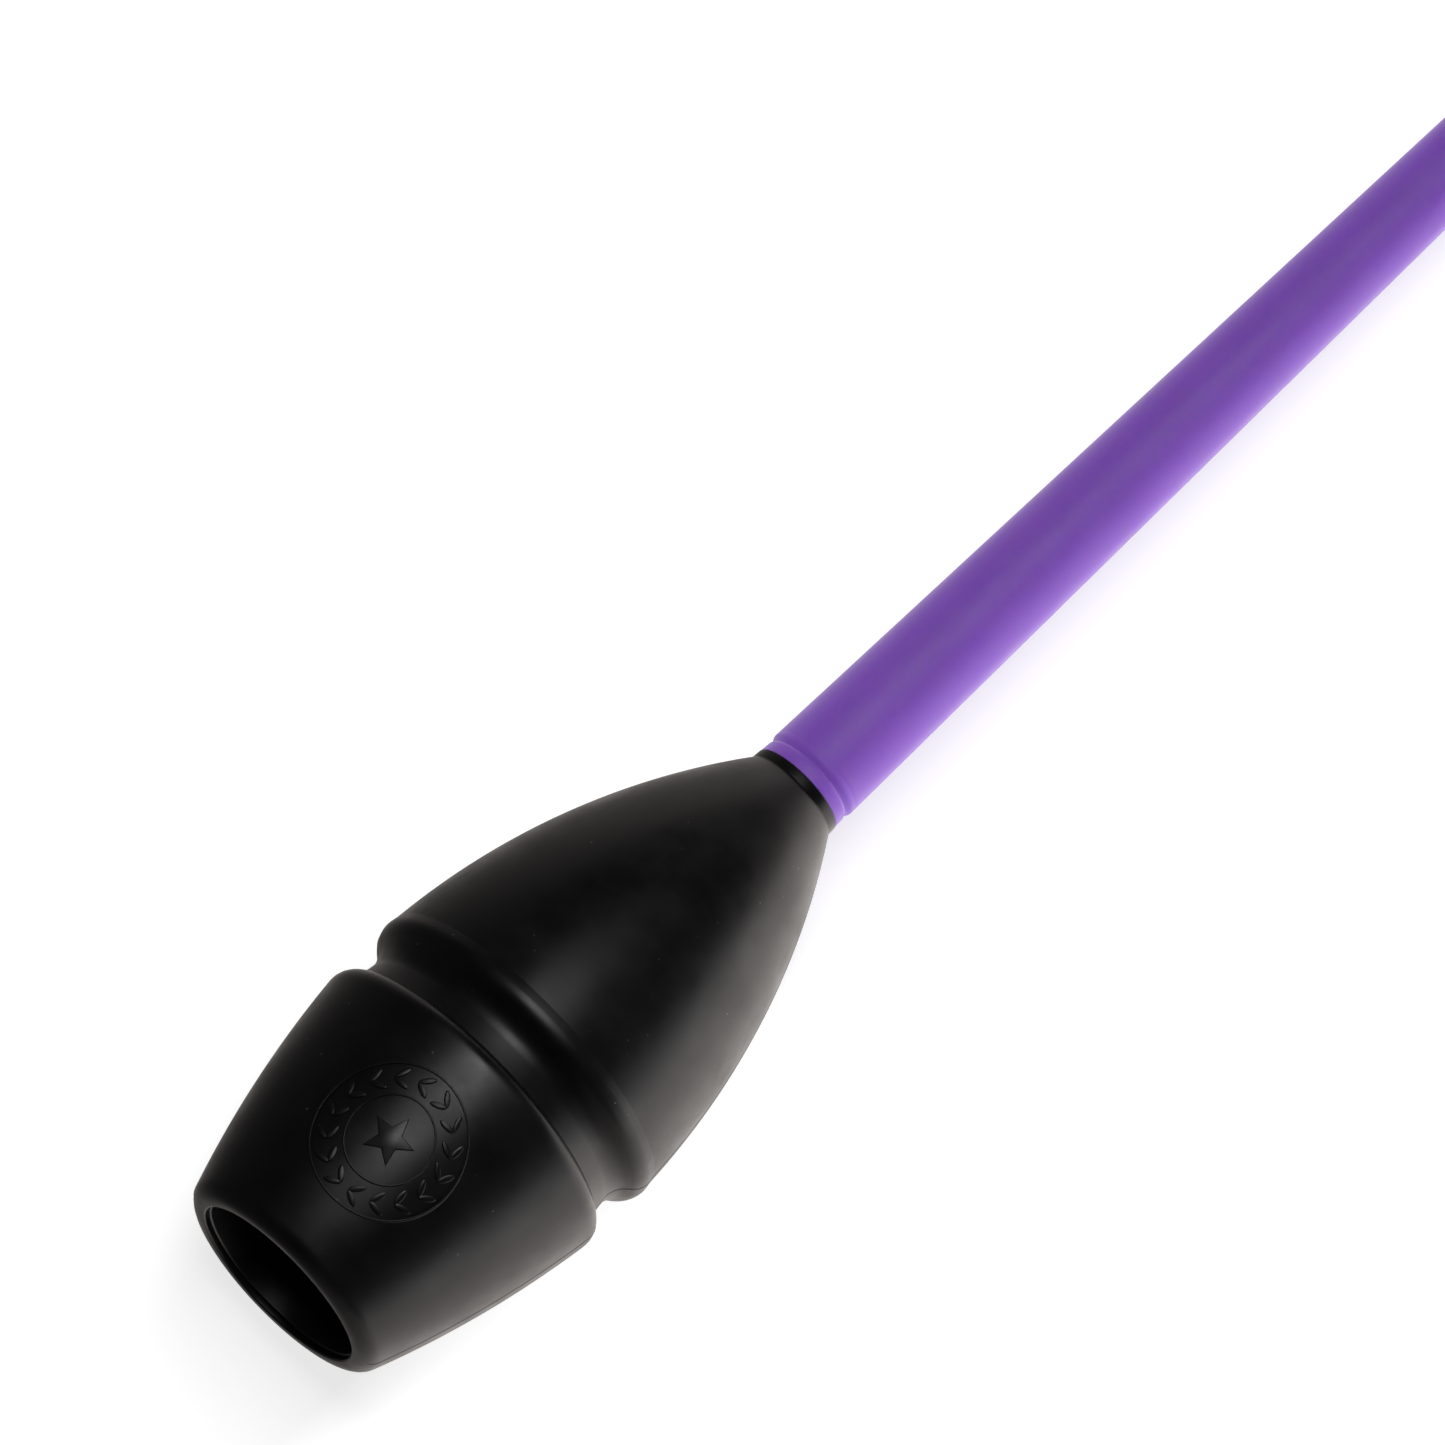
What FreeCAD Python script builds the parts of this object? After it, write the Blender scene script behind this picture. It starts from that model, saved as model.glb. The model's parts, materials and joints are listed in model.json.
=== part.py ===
"""A connectable gymnastic juggling club, lying at rest on its widest ring and its ball.

All is round about the club's own axis but the badge, the screw's hexagon and the disc's holes.
Each piece is drawn with Z along that axis: station 0 is the plane of the mouth and the ball's tip is
at club_length. lay_down() then gives all pieces the one Placement that lays the club along X,
mouth towards -X, with the origin on the table under the middle of its bounding box.
"""
import FreeCAD
import Part
import Sketcher

import math
import os

DIMENSIONS = [
    ("club_length", 440.0, "mouth plane to tip of the ball"),
    ("badge_turn", 9.9, "degrees that the badge leans towards +Y from straight up"),
    ("mouth_radius", 17.3, "opening in the soft lip of the head shell"),
    ("mouth_corner", 20.9, "outer corner of the mouth, before rounding"),
    ("mouth_round", 3.0, "rounding of the mouth's outer corner"),
    ("mouth_soften", 0.4, "rounding of the mouth's inner edge"),
    ("cup_height", 46.9, "mouth plane to the back of the cup's rim"),
    ("cup_rim_radius", 31.55, "corner of the cup's rim, before rounding"),
    ("cup_curve", 195.0, "radius of the cup's bulging side"),
    ("cup_rim_round", 2.6, "rounding of the cup's rim"),
    ("waist_corner", 28.5, "radius where the waist leaves the rim's back"),
    ("waist_radius", 27.6, "lowest corner of the waist, before rounding"),
    ("waist_station", 52.9, "station of the waist's lowest corner"),
    ("waist_round", 4.2, "hollow rounding of the waist"),
    ("crest_radius", 31.69, "corner of the bulb's bead, before rounding"),
    ("crest_station", 56.3, "station of the bead's corner"),
    ("crest_round", 3.2, "rounding of the bead, which is the club's widest ring"),
    ("bulb_radius", 31.12, "bulb where its long curve starts behind the bead"),
    ("bulb_station", 59.5, "station where the long curve starts"),
    ("bulb_curve", 136.0, "radius of the bulb's long curve"),
    ("lip_start_radius", 9.3, "small end of the bulb's long curve"),
    ("lip_start", 124.8, "station where the bulb's lip starts"),
    ("lip_radius", 9.18, "end of the bulb's lip"),
    ("lip_round", 2.0, "hollow rounding between the bulb and its lip"),
    ("head_length", 126.8, "mouth plane to the end of the bulb's lip"),
    ("head_wall", 2.4, "thickness of the head shell"),
    ("rim_inside", 28.75, "inside of the head shell at the back of the cup's rim"),
    ("waist_bore", 25.1, "inside of the head shell at the waist"),
    ("waist_bore_start", 48.6, "station where that bore starts"),
    ("waist_bore_end", 54.0, "station where that bore ends"),
    ("crest_inside", 57.3, "station where the head shell's inside reaches the bead"),
    ("badge_radius", 13.5, "outer radius of the badge's outer ring"),
    ("badge_inner", 7.9, "outer radius of the badge's inner ring"),
    ("badge_line", 0.4, "width of the badge's raised rings"),
    ("badge_height", 0.25, "height of the badge's raised rings"),
    ("badge_root", 0.5, "depth of the badge's rings in the cup's side"),
    ("badge_station", 24.1, "station of the badge's centre"),
    ("lip_depth", 1.2, "depth of the soft lip in front of the mouth ring"),
    ("lining_radius", 18.2, "outside of the mouth ring and of the socket cup behind it"),
    ("lining_wall", 1.2, "thickness of the mouth ring"),
    ("lining_seat_end", 5.5, "station where the shell lets go of the mouth ring"),
    ("seat_end_radius", 20.1, "inside of the head shell where it lets go of the mouth ring"),
    ("cup_start", 14.0, "station of the socket cup's front edge"),
    ("lap_length", 2.0, "how far mouth ring and socket cup overlap"),
    ("lap_radius", 17.6, "where they meet in the overlap"),
    ("cup_wall", 2.0, "thickness of the socket cup's side"),
    ("cup_floor", 45.0, "station of the socket cup's floor, inside"),
    ("cup_end", 47.5, "station of the socket cup's floor, outside"),
    ("funnel_start", 14.6, "station of the funnel's front edge"),
    ("funnel_radius", 15.6, "front opening of the funnel"),
    ("throat_radius", 13.4, "opening at the back of the funnel"),
    ("ring_start", 21.0, "station of the grip ring's front face"),
    ("ring_end", 25.5, "station of the grip ring's back face"),
    ("ring_seat", 14.6, "radius of the recess that holds the grip ring"),
    ("grip_radius", 11.7, "free opening of the grip ring"),
    ("grip_land", 2.5, "length of the grip ring's straight land"),
    ("pocket_radius", 12.8, "radius of the pocket that receives a ball"),
    ("pocket_floor", 40.6, "station of the pocket's floor, which a ball rests on"),
    ("pocket_round", 3.0, "hollow rounding between the pocket's side and floor"),
    ("recess_radius", 4.8, "recess for the screw's head"),
    ("screw_radius", 2.0, "shank of the centre screw"),
    ("screw_hole", 2.2, "clearance hole for the screw"),
    ("screw_head", 4.1, "head of the centre screw"),
    ("screw_head_height", 2.7, "height of the screw's head"),
    ("screw_head_round", 1.08, "rounding of the screw's head"),
    ("screw_key", 1.5, "half width across flats of the screw's hexagon"),
    ("screw_key_depth", 1.6, "depth of the screw's hexagon"),
    ("screw_end", 66.0, "station of the screw's tip"),
    ("washer_radius", 4.5, "outside of the washer"),
    ("washer_height", 0.6, "thickness of the washer"),
    ("disc_start", 49.0, "station of the waist disc's front face"),
    ("disc_end", 52.5, "station of the waist disc's back face"),
    ("hub_radius", 9.5, "outside of the waist disc's hub"),
    ("hub_end", 62.0, "station of the hub's back end"),
    ("disc_hole", 4.2, "radius of each lightening hole in the waist disc"),
    ("disc_hole_pitch", 17.3, "radius of the circle of lightening holes"),
    ("disc_holes", 6, "number of lightening holes"),
    ("tube_radius", 6.8, "outside of the core tube in the head"),
    ("tube_wall", 1.2, "thickness of the core tube"),
    ("tube_start", 54.5, "station of the core tube's head end"),
    ("tube_tip_radius", 3.6, "outside of the core tube at the ball"),
    ("plug_end", 70.0, "station of the tube plug's closed end"),
    ("weight_start", 72.0, "station of the balance weight's front face"),
    ("weight_length", 9.0, "length of the balance weight"),
    ("weight_radius", 10.4, "outside of the balance weight"),
    ("weight_round", 0.77, "rounding of the balance weight's outer edges"),
    ("stop_section", 1.1, "radius of each weight stop's rubber section"),
    ("bush_start", 104.0, "station of the neck bush's wide end"),
    ("bush_end", 117.0, "station of the neck bush's narrow end"),
    ("spigot_radius", 8.0, "sleeve inside the bulb's lip"),
    ("collar_radius", 9.1, "sleeve's collar at the bulb's lip"),
    ("collar_end_radius", 9.0, "sleeve's collar at the notch"),
    ("collar_end", 128.9, "station where the collar ends"),
    ("notch_radius", 8.6, "bottom of the notch behind the collar"),
    ("notch_station", 129.55, "station of the notch's bottom"),
    ("sleeve_radius", 9.26, "widest part of the neck, before rounding"),
    ("sleeve_start", 130.5, "station of the widest part of the neck"),
    ("sleeve_round", 0.9, "rounding of the neck's shoulder"),
    ("sleeve_tip_radius", 5.3, "neck where it enters the ball"),
    ("sleeve_tip", 413.5, "station where the neck becomes straight"),
    ("sleeve_end", 419.0, "station of the sleeve's and the tube's end in the ball"),
    ("ball_radius", 12.5, "outside of the ball"),
    ("ball_core_radius", 10.4, "outside of the ball's core"),
    ("ball_split", 0.5, "how far the ball's split lies on the neck's side of its middle"),
    ("ball_flat", 9.55, "ball's middle to the flat on its neck's side"),
    ("ball_flat_round", 1.2, "rounding of the flat's edge"),
    ("tip_line", 3.4, "ball's middle to the ring cut in its tip"),
    ("tip_line_width", 0.7, "width of the ring cut in the tip"),
    ("tip_line_depth", 0.3, "depth of the ring cut in the tip"),
    ("core_spigot_radius", 2.4, "ball core's spigot in the core tube"),
    ("core_spigot_start", 396.0, "station of the spigot's free end"),
]

PARTS_FOLDER = "parts"
TOUCH = 1e-4


def make_sheet(doc):
    """Write the driving dimensions into a spreadsheet, each with its alias."""
    sheet = doc.addObject("Spreadsheet::Sheet", "Dims")
    for row, (alias, value, note) in enumerate(DIMENSIONS, start=1):
        sheet.set(f"A{row}", str(value))
        sheet.setAlias(f"A{row}", alias)
        sheet.set(f"B{row}", note)
    doc.recompute()
    return sheet


def dims(words):
    """Turn aliases in an expression of words into references to the sheet."""
    names = {alias for alias, _, _ in DIMENSIONS}
    return " ".join(f"Dims.{word}" if word in names else word for word in words.split())


def number(sheet, words):
    """The value of an expression of aliases, in millimetres."""
    return float(sheet.evalExpression(dims(words)))


def middle_of_arc(start, end, radius, bulge):
    """The middle point of the arc from start to end that bulges to the left (1) or right (-1)."""
    chord = end - start
    half = chord.Length / 2
    sagitta = radius - math.sqrt(radius ** 2 - half ** 2)
    left = FreeCAD.Vector(-chord.y, chord.x, 0).normalize()
    return (start + end) / 2 + left * sagitta * bulge


def bind(sketch, constraint, name, words):
    """Add a constraint whose value comes from the sheet."""
    index = sketch.addConstraint(constraint)
    sketch.renameConstraint(index, name)
    sketch.setExpression(f"Constraints.{name}", dims(words))


def place_corner(sketch, geometry, end, name, radius, station):
    """Hold one corner of an outline at its radius (x) and station (y)."""
    at = sketch.getPoint(geometry, end)
    if radius == "0":
        sketch.addConstraint(Sketcher.Constraint("PointOnObject", geometry, end, -2))
    else:
        across = Sketcher.Constraint("DistanceX", -1, 1, geometry, end, at.x)
        bind(sketch, across, f"{name}_radius", radius)
    if station == "0":
        sketch.addConstraint(Sketcher.Constraint("PointOnObject", geometry, end, -1))
    else:
        along = Sketcher.Constraint("DistanceY", -1, 1, geometry, end, at.y)
        bind(sketch, along, f"{name}_station", station)


def draw_outline(sheet, sketch, corners):
    """Draw a closed outline. A corner is (radius, station), in words, and may add
    (arc radius, bulge) when the edge to the next corner is an arc instead of a line."""
    points = [FreeCAD.Vector(number(sheet, c[0]), number(sheet, c[1]), 0) for c in corners]
    ends = []
    for index, corner in enumerate(corners):
        start, finish = points[index], points[(index + 1) % len(points)]
        if len(corner) == 2:
            geometry = sketch.addGeometry(Part.LineSegment(start, finish), False)
        else:
            radius = number(sheet, corner[2])
            middle = middle_of_arc(start, finish, radius, corner[3])
            geometry = sketch.addGeometry(Part.Arc(start, middle, finish), False)
            bend = Sketcher.Constraint("Radius", geometry, radius)
            bind(sketch, bend, f"edge{index}_curve", corner[2])
        first = 1 if sketch.getPoint(geometry, 1).isEqual(start, TOUCH) else 2
        ends.append((geometry, first, 3 - first))
    for index, (geometry, first, _) in enumerate(ends):
        before, _, last = ends[index - 1]
        sketch.addConstraint(Sketcher.Constraint("Coincident", before, last, geometry, first))
        place_corner(sketch, geometry, first, f"corner{index}", corners[index][0], corners[index][1])


def origin_plane(body, role):
    """One of the body's own origin planes."""
    return next(item for item in body.Origin.OriginFeatures if item.Role == role)


def turned_body(doc, sheet, label, corners):
    """A body made by turning an outline about the club's axis."""
    body = doc.addObject("PartDesign::Body", label)
    sketch = body.newObject("Sketcher::SketchObject", f"{label}_outline")
    sketch.AttachmentSupport = (origin_plane(body, "XZ_Plane"), [""])
    sketch.MapMode = "FlatFace"
    draw_outline(sheet, sketch, corners)
    turn = body.newObject("PartDesign::Revolution", f"{label}_turn")
    turn.Profile = sketch
    turn.ReferenceAxis = (sketch, ["V_Axis"])
    turn.Angle = 360
    doc.recompute()
    return body


def ring_edge(sheet, shape, radius, station):
    """The name of the round edge of a turned shape at that radius and station."""
    wide, high = number(sheet, radius), number(sheet, station)
    for index, edge in enumerate(shape.Edges, start=1):
        curve = edge.Curve
        if isinstance(curve, Part.Circle) and abs(curve.Radius - wide) < TOUCH:
            if abs(curve.Center.z - high) < TOUCH:
                return f"Edge{index}"
    raise ValueError(f"no round edge at radius {radius}, station {station}")


def round_ring(doc, sheet, body, name, radius, station, size):
    """Round the edge of a turned body at that radius and station."""
    base = body.Tip
    edge = ring_edge(sheet, base.Shape, radius, station)
    fillet = body.newObject("PartDesign::Fillet", name)
    fillet.Base = (base, [edge])
    fillet.setExpression("Radius", dims(size))
    doc.recompute()
    return fillet


def head_outline(sheet):
    """The head shell's corners: outside from mouth to lip, then inside back to the mouth."""
    inside_curve = "bulb_curve - head_wall"
    along_start, across_start = long_curve_centre(sheet)
    inner = number(sheet, inside_curve)

    def inside(station):
        return f"{across_start + math.sqrt(inner ** 2 - (number(sheet, station) - along_start) ** 2)}"

    return [
        ("mouth_radius", "0"),
        ("mouth_corner", "0", "cup_curve", -1),
        ("cup_rim_radius", "cup_height"),
        ("waist_corner", "cup_height"),
        ("waist_radius", "waist_station"),
        ("crest_radius", "crest_station"),
        ("bulb_radius", "bulb_station", "bulb_curve", -1),
        ("lip_start_radius", "lip_start"),
        ("lip_radius", "head_length"),
        ("spigot_radius", "head_length"),
        ("spigot_radius", "bush_end"),
        (inside("bush_end"), "bush_end", inside_curve, 1),
        (inside("bulb_station"), "bulb_station"),
        ("bulb_radius - head_wall", "crest_inside"),
        ("waist_bore", "waist_bore_end"),
        ("waist_bore", "waist_bore_start"),
        ("rim_inside", "cup_height - head_wall", "cup_curve - head_wall", 1),
        ("seat_end_radius", "lining_seat_end"),
        ("lining_radius", "lining_seat_end"),
        ("lining_radius", "lip_depth"),
        ("mouth_radius", "lip_depth"),
    ]


def long_curve_centre(sheet):
    """Station and radius of the centre of the bulb's long curve."""
    start = FreeCAD.Vector(number(sheet, "bulb_station"), number(sheet, "bulb_radius"), 0)
    end = FreeCAD.Vector(number(sheet, "lip_start"), number(sheet, "lip_start_radius"), 0)
    radius = number(sheet, "bulb_curve")
    middle = middle_of_arc(start, end, radius, 1)
    centre = middle + ((start + end) / 2 - middle).normalize() * radius
    return centre.x, centre.y


def make_head_shell(doc, sheet):
    """The soft head: cup, waist and bulb in one moulding."""
    body = turned_body(doc, sheet, "head_turning", head_outline(sheet))
    round_ring(doc, sheet, body, "rounded_mouth", "mouth_corner", "0", "mouth_round")
    round_ring(doc, sheet, body, "softened_mouth", "mouth_radius", "0", "mouth_soften")
    round_ring(doc, sheet, body, "rounded_rim", "cup_rim_radius", "cup_height", "cup_rim_round")
    round_ring(doc, sheet, body, "hollow_waist", "waist_radius", "waist_station", "waist_round")
    round_ring(doc, sheet, body, "rounded_crest", "crest_radius", "crest_station", "crest_round")
    round_ring(doc, sheet, body, "hollow_lip", "lip_start_radius", "lip_start", "lip_round")
    shell = doc.addObject("Part::MultiFuse", "head_shell")
    shell.Shapes = [body, make_badge(doc, sheet)]
    doc.recompute()
    return shell


def make_badge(doc, sheet):
    """The badge's two raised rings, which follow the cup's side."""
    skin = turned_body(doc, sheet, "badge_skin", [
        ("mouth_corner - badge_root", "0", "cup_curve", -1),
        ("cup_rim_radius - badge_root", "cup_height"),
        ("cup_rim_radius + badge_height", "cup_height", "cup_curve", 1),
        ("mouth_corner + badge_height", "0"),
    ])
    rings = [badge_ring(doc, "badge_outer", "badge_radius"),
             badge_ring(doc, "badge_inner_ring", "badge_inner")]
    both = doc.addObject("Part::MultiFuse", "badge_rings")
    both.Shapes = rings
    badge = doc.addObject("Part::MultiCommon", "badge")
    badge.Shapes = [skin, both]
    doc.recompute()
    return badge


def badge_ring(doc, name, outer):
    """One upright ring round the badge's centre, tall enough to pass through the cup's side."""
    solids = []
    for suffix, words in (("edge", outer), ("hole", f"{outer} - badge_line")):
        cylinder = doc.addObject("Part::Cylinder", f"{name}_{suffix}")
        cylinder.setExpression("Radius", dims(words))
        cylinder.setExpression("Height", dims("cup_rim_radius * 2"))
        cylinder.setExpression("Placement.Base.z", dims("badge_station"))
        cylinder.Placement.Rotation = FreeCAD.Rotation(FreeCAD.Vector(0, 1, 0), 90)
        solids.append(cylinder)
    ring = doc.addObject("Part::Cut", name)
    ring.Base, ring.Tool = solids
    return ring


def make_mouth_ring(doc, sheet):
    """The hard ring that keeps the mouth round and laps over the socket cup."""
    return turned_body(doc, sheet, "mouth_ring", [
        ("lining_radius - lining_wall", "lip_depth"),
        ("lining_radius", "lip_depth"),
        ("lining_radius", "cup_start + lap_length"),
        ("lap_radius", "cup_start + lap_length"),
        ("lap_radius", "cup_start"),
        ("lining_radius - lining_wall", "cup_start"),
    ])


def make_socket_cup(doc, sheet):
    """The hard cup that carries funnel, grip ring and pocket, and is screwed to the waist disc."""
    return turned_body(doc, sheet, "socket_cup", [
        ("lining_radius - cup_wall", "cup_start"),
        ("lap_radius", "cup_start"),
        ("lap_radius", "cup_start + lap_length"),
        ("lining_radius", "cup_start + lap_length"),
        ("lining_radius", "cup_end"),
        ("screw_hole", "cup_end"),
        ("screw_hole", "cup_floor"),
        ("lining_radius - cup_wall", "cup_floor"),
    ])


def make_socket_funnel(doc, sheet):
    """The ring that guides another club's ball in and keeps the grip ring in its recess."""
    return turned_body(doc, sheet, "socket_funnel", [
        ("funnel_radius", "funnel_start"),
        ("lining_radius - cup_wall", "funnel_start"),
        ("lining_radius - cup_wall", "ring_start"),
        ("throat_radius", "ring_start"),
    ])


def make_ball_pocket(doc, sheet):
    """The soft pocket that another club's ball rests in, with the grip ring's recess in front."""
    body = turned_body(doc, sheet, "ball_pocket", [
        ("ring_seat", "ring_start"),
        ("lining_radius - cup_wall", "ring_start"),
        ("lining_radius - cup_wall", "cup_floor"),
        ("recess_radius", "cup_floor"),
        ("recess_radius", "pocket_floor"),
        ("pocket_radius", "pocket_floor"),
        ("pocket_radius", "ring_end"),
        ("ring_seat", "ring_end"),
    ])
    round_ring(doc, sheet, body, "hollow_pocket", "pocket_radius", "pocket_floor", "pocket_round")
    return body


def make_grip_ring(doc, sheet):
    """The elastic ring that a ball snaps through."""
    front = "( ring_start + ring_end - grip_land ) / 2"
    back = "( ring_start + ring_end + grip_land ) / 2"
    return turned_body(doc, sheet, "grip_ring", [
        ("pocket_radius", "ring_start"),
        ("ring_seat", "ring_start"),
        ("ring_seat", "ring_end"),
        ("pocket_radius", "ring_end"),
        ("grip_radius", back),
        ("grip_radius", front),
    ])


def make_centre_screw(doc, sheet):
    """The screw that pulls socket cup, disc and core tube together, with a hexagon in its head."""
    top = "cup_floor - washer_height - screw_head_height"
    seat = "cup_floor - washer_height"
    body = turned_body(doc, sheet, "centre_screw", [
        ("0", top),
        ("screw_head", top),
        ("screw_head", seat),
        ("screw_radius", seat),
        ("screw_radius", "screw_end"),
        ("0", "screw_end"),
    ])
    round_ring(doc, sheet, body, "rounded_head", "screw_head", top, "screw_head_round")
    sketch = body.newObject("Sketcher::SketchObject", "key_outline")
    sketch.AttachmentSupport = (origin_plane(body, "XY_Plane"), [""])
    sketch.MapMode = "FlatFace"
    sketch.setExpression("AttachmentOffset.Base.z", dims(top))
    reach = number(sheet, "screw_key") / math.cos(math.pi / 6)
    tips = [FreeCAD.Vector(reach * math.cos(a), reach * math.sin(a), 0)
            for a in (math.pi / 3 * side for side in range(6))]
    for side in range(6):
        sketch.addGeometry(Part.LineSegment(tips[side], tips[(side + 1) % 6]), False)
    rim = sketch.addGeometry(Part.Circle(FreeCAD.Vector(), FreeCAD.Vector(0, 0, 1), reach), True)
    sketch.addConstraint(Sketcher.Constraint("Coincident", rim, 3, -1, 1))
    bind(sketch, Sketcher.Constraint("Radius", rim, reach), "key_reach", "screw_key / cos(30)")
    for side in range(6):
        joined = Sketcher.Constraint("Coincident", side, 2, (side + 1) % 6, 1)
        sketch.addConstraint(joined)
        sketch.addConstraint(Sketcher.Constraint("PointOnObject", side, 1, rim))
    for side in range(1, 6):
        sketch.addConstraint(Sketcher.Constraint("Equal", 0, side))
    sketch.addConstraint(Sketcher.Constraint("PointOnObject", 0, 1, -1))
    whole = body.Shape.Volume
    pocket = body.newObject("PartDesign::Pocket", "key_pocket")
    pocket.Profile = sketch
    pocket.setExpression("Length", dims("screw_key_depth"))
    pocket.Reversed = True
    doc.recompute()
    require_less(body, whole, "key_pocket")
    return body


def require_less(body, before, feature):
    """Stop if a cutting feature has cut nothing."""
    if body.Shape.Volume >= before - TOUCH:
        raise ValueError(f"{feature} cut nothing from {body.Label}")


def make_screw_washer(doc, sheet):
    """The washer under the screw's head."""
    return turned_body(doc, sheet, "screw_washer", [
        ("screw_hole", "cup_floor - washer_height"),
        ("washer_radius", "cup_floor - washer_height"),
        ("washer_radius", "cup_floor"),
        ("screw_hole", "cup_floor"),
    ])


def make_waist_disc(doc, sheet):
    """The disc that holds the waist round and carries the core tube in its hub."""
    body = turned_body(doc, sheet, "waist_disc", [
        ("screw_hole", "cup_end"),
        ("hub_radius", "cup_end"),
        ("hub_radius", "disc_start"),
        ("waist_bore", "disc_start"),
        ("waist_bore", "disc_end"),
        ("hub_radius", "disc_end"),
        ("hub_radius", "hub_end"),
        ("tube_radius", "hub_end"),
        ("tube_radius", "tube_start"),
        ("screw_hole", "tube_start"),
    ])
    whole = body.Shape.Volume
    sketch = body.newObject("Sketcher::SketchObject", "hole_outline")
    sketch.AttachmentSupport = (origin_plane(body, "XY_Plane"), [""])
    sketch.MapMode = "FlatFace"
    sketch.setExpression("AttachmentOffset.Base.z", dims("disc_start"))
    pitch, size = number(sheet, "disc_hole_pitch"), number(sheet, "disc_hole")
    centre = FreeCAD.Vector(pitch, 0, 0)
    hole = sketch.addGeometry(Part.Circle(centre, FreeCAD.Vector(0, 0, 1), size), False)
    sketch.addConstraint(Sketcher.Constraint("PointOnObject", hole, 3, -1))
    bind(sketch, Sketcher.Constraint("DistanceX", -1, 1, hole, 3, pitch), "pitch", "disc_hole_pitch")
    bind(sketch, Sketcher.Constraint("Radius", hole, size), "size", "disc_hole")
    pocket = body.newObject("PartDesign::Pocket", "light_hole")
    pocket.Profile = sketch
    pocket.setExpression("Length", dims("disc_end - disc_start"))
    pocket.Reversed = True
    doc.recompute()
    pattern = body.newObject("PartDesign::PolarPattern", "light_holes")
    pattern.Originals = [pocket]
    pattern.Axis = (sketch, ["N_Axis"])
    pattern.Angle = 360
    pattern.setExpression("Occurrences", dims("disc_holes"))
    body.Tip = pattern
    doc.recompute()
    holes = number(sheet, "disc_holes")
    bored = holes * math.pi * size ** 2 * number(sheet, "disc_end - disc_start")
    if abs(whole - body.Shape.Volume - bored) > bored * 0.01:
        raise ValueError("the waist disc has the wrong number of holes")
    return body


def make_core_tube(doc, sheet):
    """The stiff tube inside head and neck, straight in the head and tapered in the neck."""
    return turned_body(doc, sheet, "core_tube", [
        ("tube_radius - tube_wall", "tube_start"),
        ("tube_radius", "tube_start"),
        ("tube_radius", "sleeve_start"),
        ("tube_tip_radius", "sleeve_end"),
        ("tube_tip_radius - tube_wall", "sleeve_end"),
        ("tube_radius - tube_wall", "sleeve_start"),
    ])


def make_tube_plug(doc, sheet):
    """The plug in the tube's head end that takes the screw."""
    return turned_body(doc, sheet, "tube_plug", [
        ("screw_radius", "tube_start"),
        ("tube_radius - tube_wall", "tube_start"),
        ("tube_radius - tube_wall", "plug_end"),
        ("0", "plug_end"),
        ("0", "screw_end"),
        ("screw_radius", "screw_end"),
    ])


def make_balance_weight(doc, sheet):
    """The steel ring that brings the club to its weight and sets its balance."""
    body = turned_body(doc, sheet, "balance_weight", [
        ("tube_radius", "weight_start"),
        ("weight_radius", "weight_start"),
        ("weight_radius", "weight_start + weight_length"),
        ("tube_radius", "weight_start + weight_length"),
    ])
    for name, station in (("front_edge", "weight_start"), ("back_edge", "weight_start + weight_length")):
        round_ring(doc, sheet, body, name, "weight_radius", station, "weight_round")
    return body


def make_weight_stops(doc):
    """The two rubber rings that keep the weight from sliding on the tube."""
    rings = []
    for name, station in (("front_stop", "weight_start - stop_section"),
                          ("back_stop", "weight_start + weight_length + stop_section")):
        ring = doc.addObject("Part::Torus", name)
        ring.setExpression("Radius1", dims("tube_radius + stop_section"))
        ring.setExpression("Radius2", dims("stop_section"))
        ring.setExpression("Placement.Base.z", dims(station))
        rings.append(ring)
    stops = doc.addObject("Part::Compound", "weight_stops")
    stops.Links = rings
    doc.recompute()
    return stops


def make_neck_bush(doc, sheet):
    """The bush that fills the bulb's small end round the core tube."""
    along, across = long_curve_centre(sheet)
    inner = number(sheet, "bulb_curve - head_wall")

    def inside(station):
        return f"{across + math.sqrt(inner ** 2 - (number(sheet, station) - along) ** 2)}"

    return turned_body(doc, sheet, "neck_bush", [
        ("tube_radius", "bush_start"),
        (inside("bush_start"), "bush_start", "bulb_curve - head_wall", -1),
        (inside("bush_end"), "bush_end"),
        ("tube_radius", "bush_end"),
    ])


def make_neck_sleeve(doc, sheet):
    """The soft grip: spigot in the bulb's lip, collar, notch, long cone and end in the ball."""
    tube_slope = "( tube_radius - tube_tip_radius ) / ( sleeve_end - sleeve_start )"
    body = turned_body(doc, sheet, "neck_sleeve", [
        ("tube_radius", "bush_end"),
        ("spigot_radius", "bush_end"),
        ("spigot_radius", "head_length"),
        ("collar_radius", "head_length"),
        ("collar_end_radius", "collar_end"),
        ("notch_radius", "notch_station"),
        ("sleeve_radius", "sleeve_start"),
        ("sleeve_tip_radius", "sleeve_tip"),
        ("sleeve_tip_radius", "sleeve_end"),
        (f"tube_radius - ( sleeve_end - sleeve_start ) * {tube_slope}", "sleeve_end"),
        ("tube_radius", "sleeve_start"),
    ])
    round_ring(doc, sheet, body, "rounded_shoulder", "sleeve_radius", "sleeve_start", "sleeve_round")
    return body


def ball_ring(sheet, sphere, distance):
    """The radius of a sphere about the ball's middle at a distance from the middle, in words."""
    return f"{math.sqrt(number(sheet, sphere) ** 2 - number(sheet, distance) ** 2)}"


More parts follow.
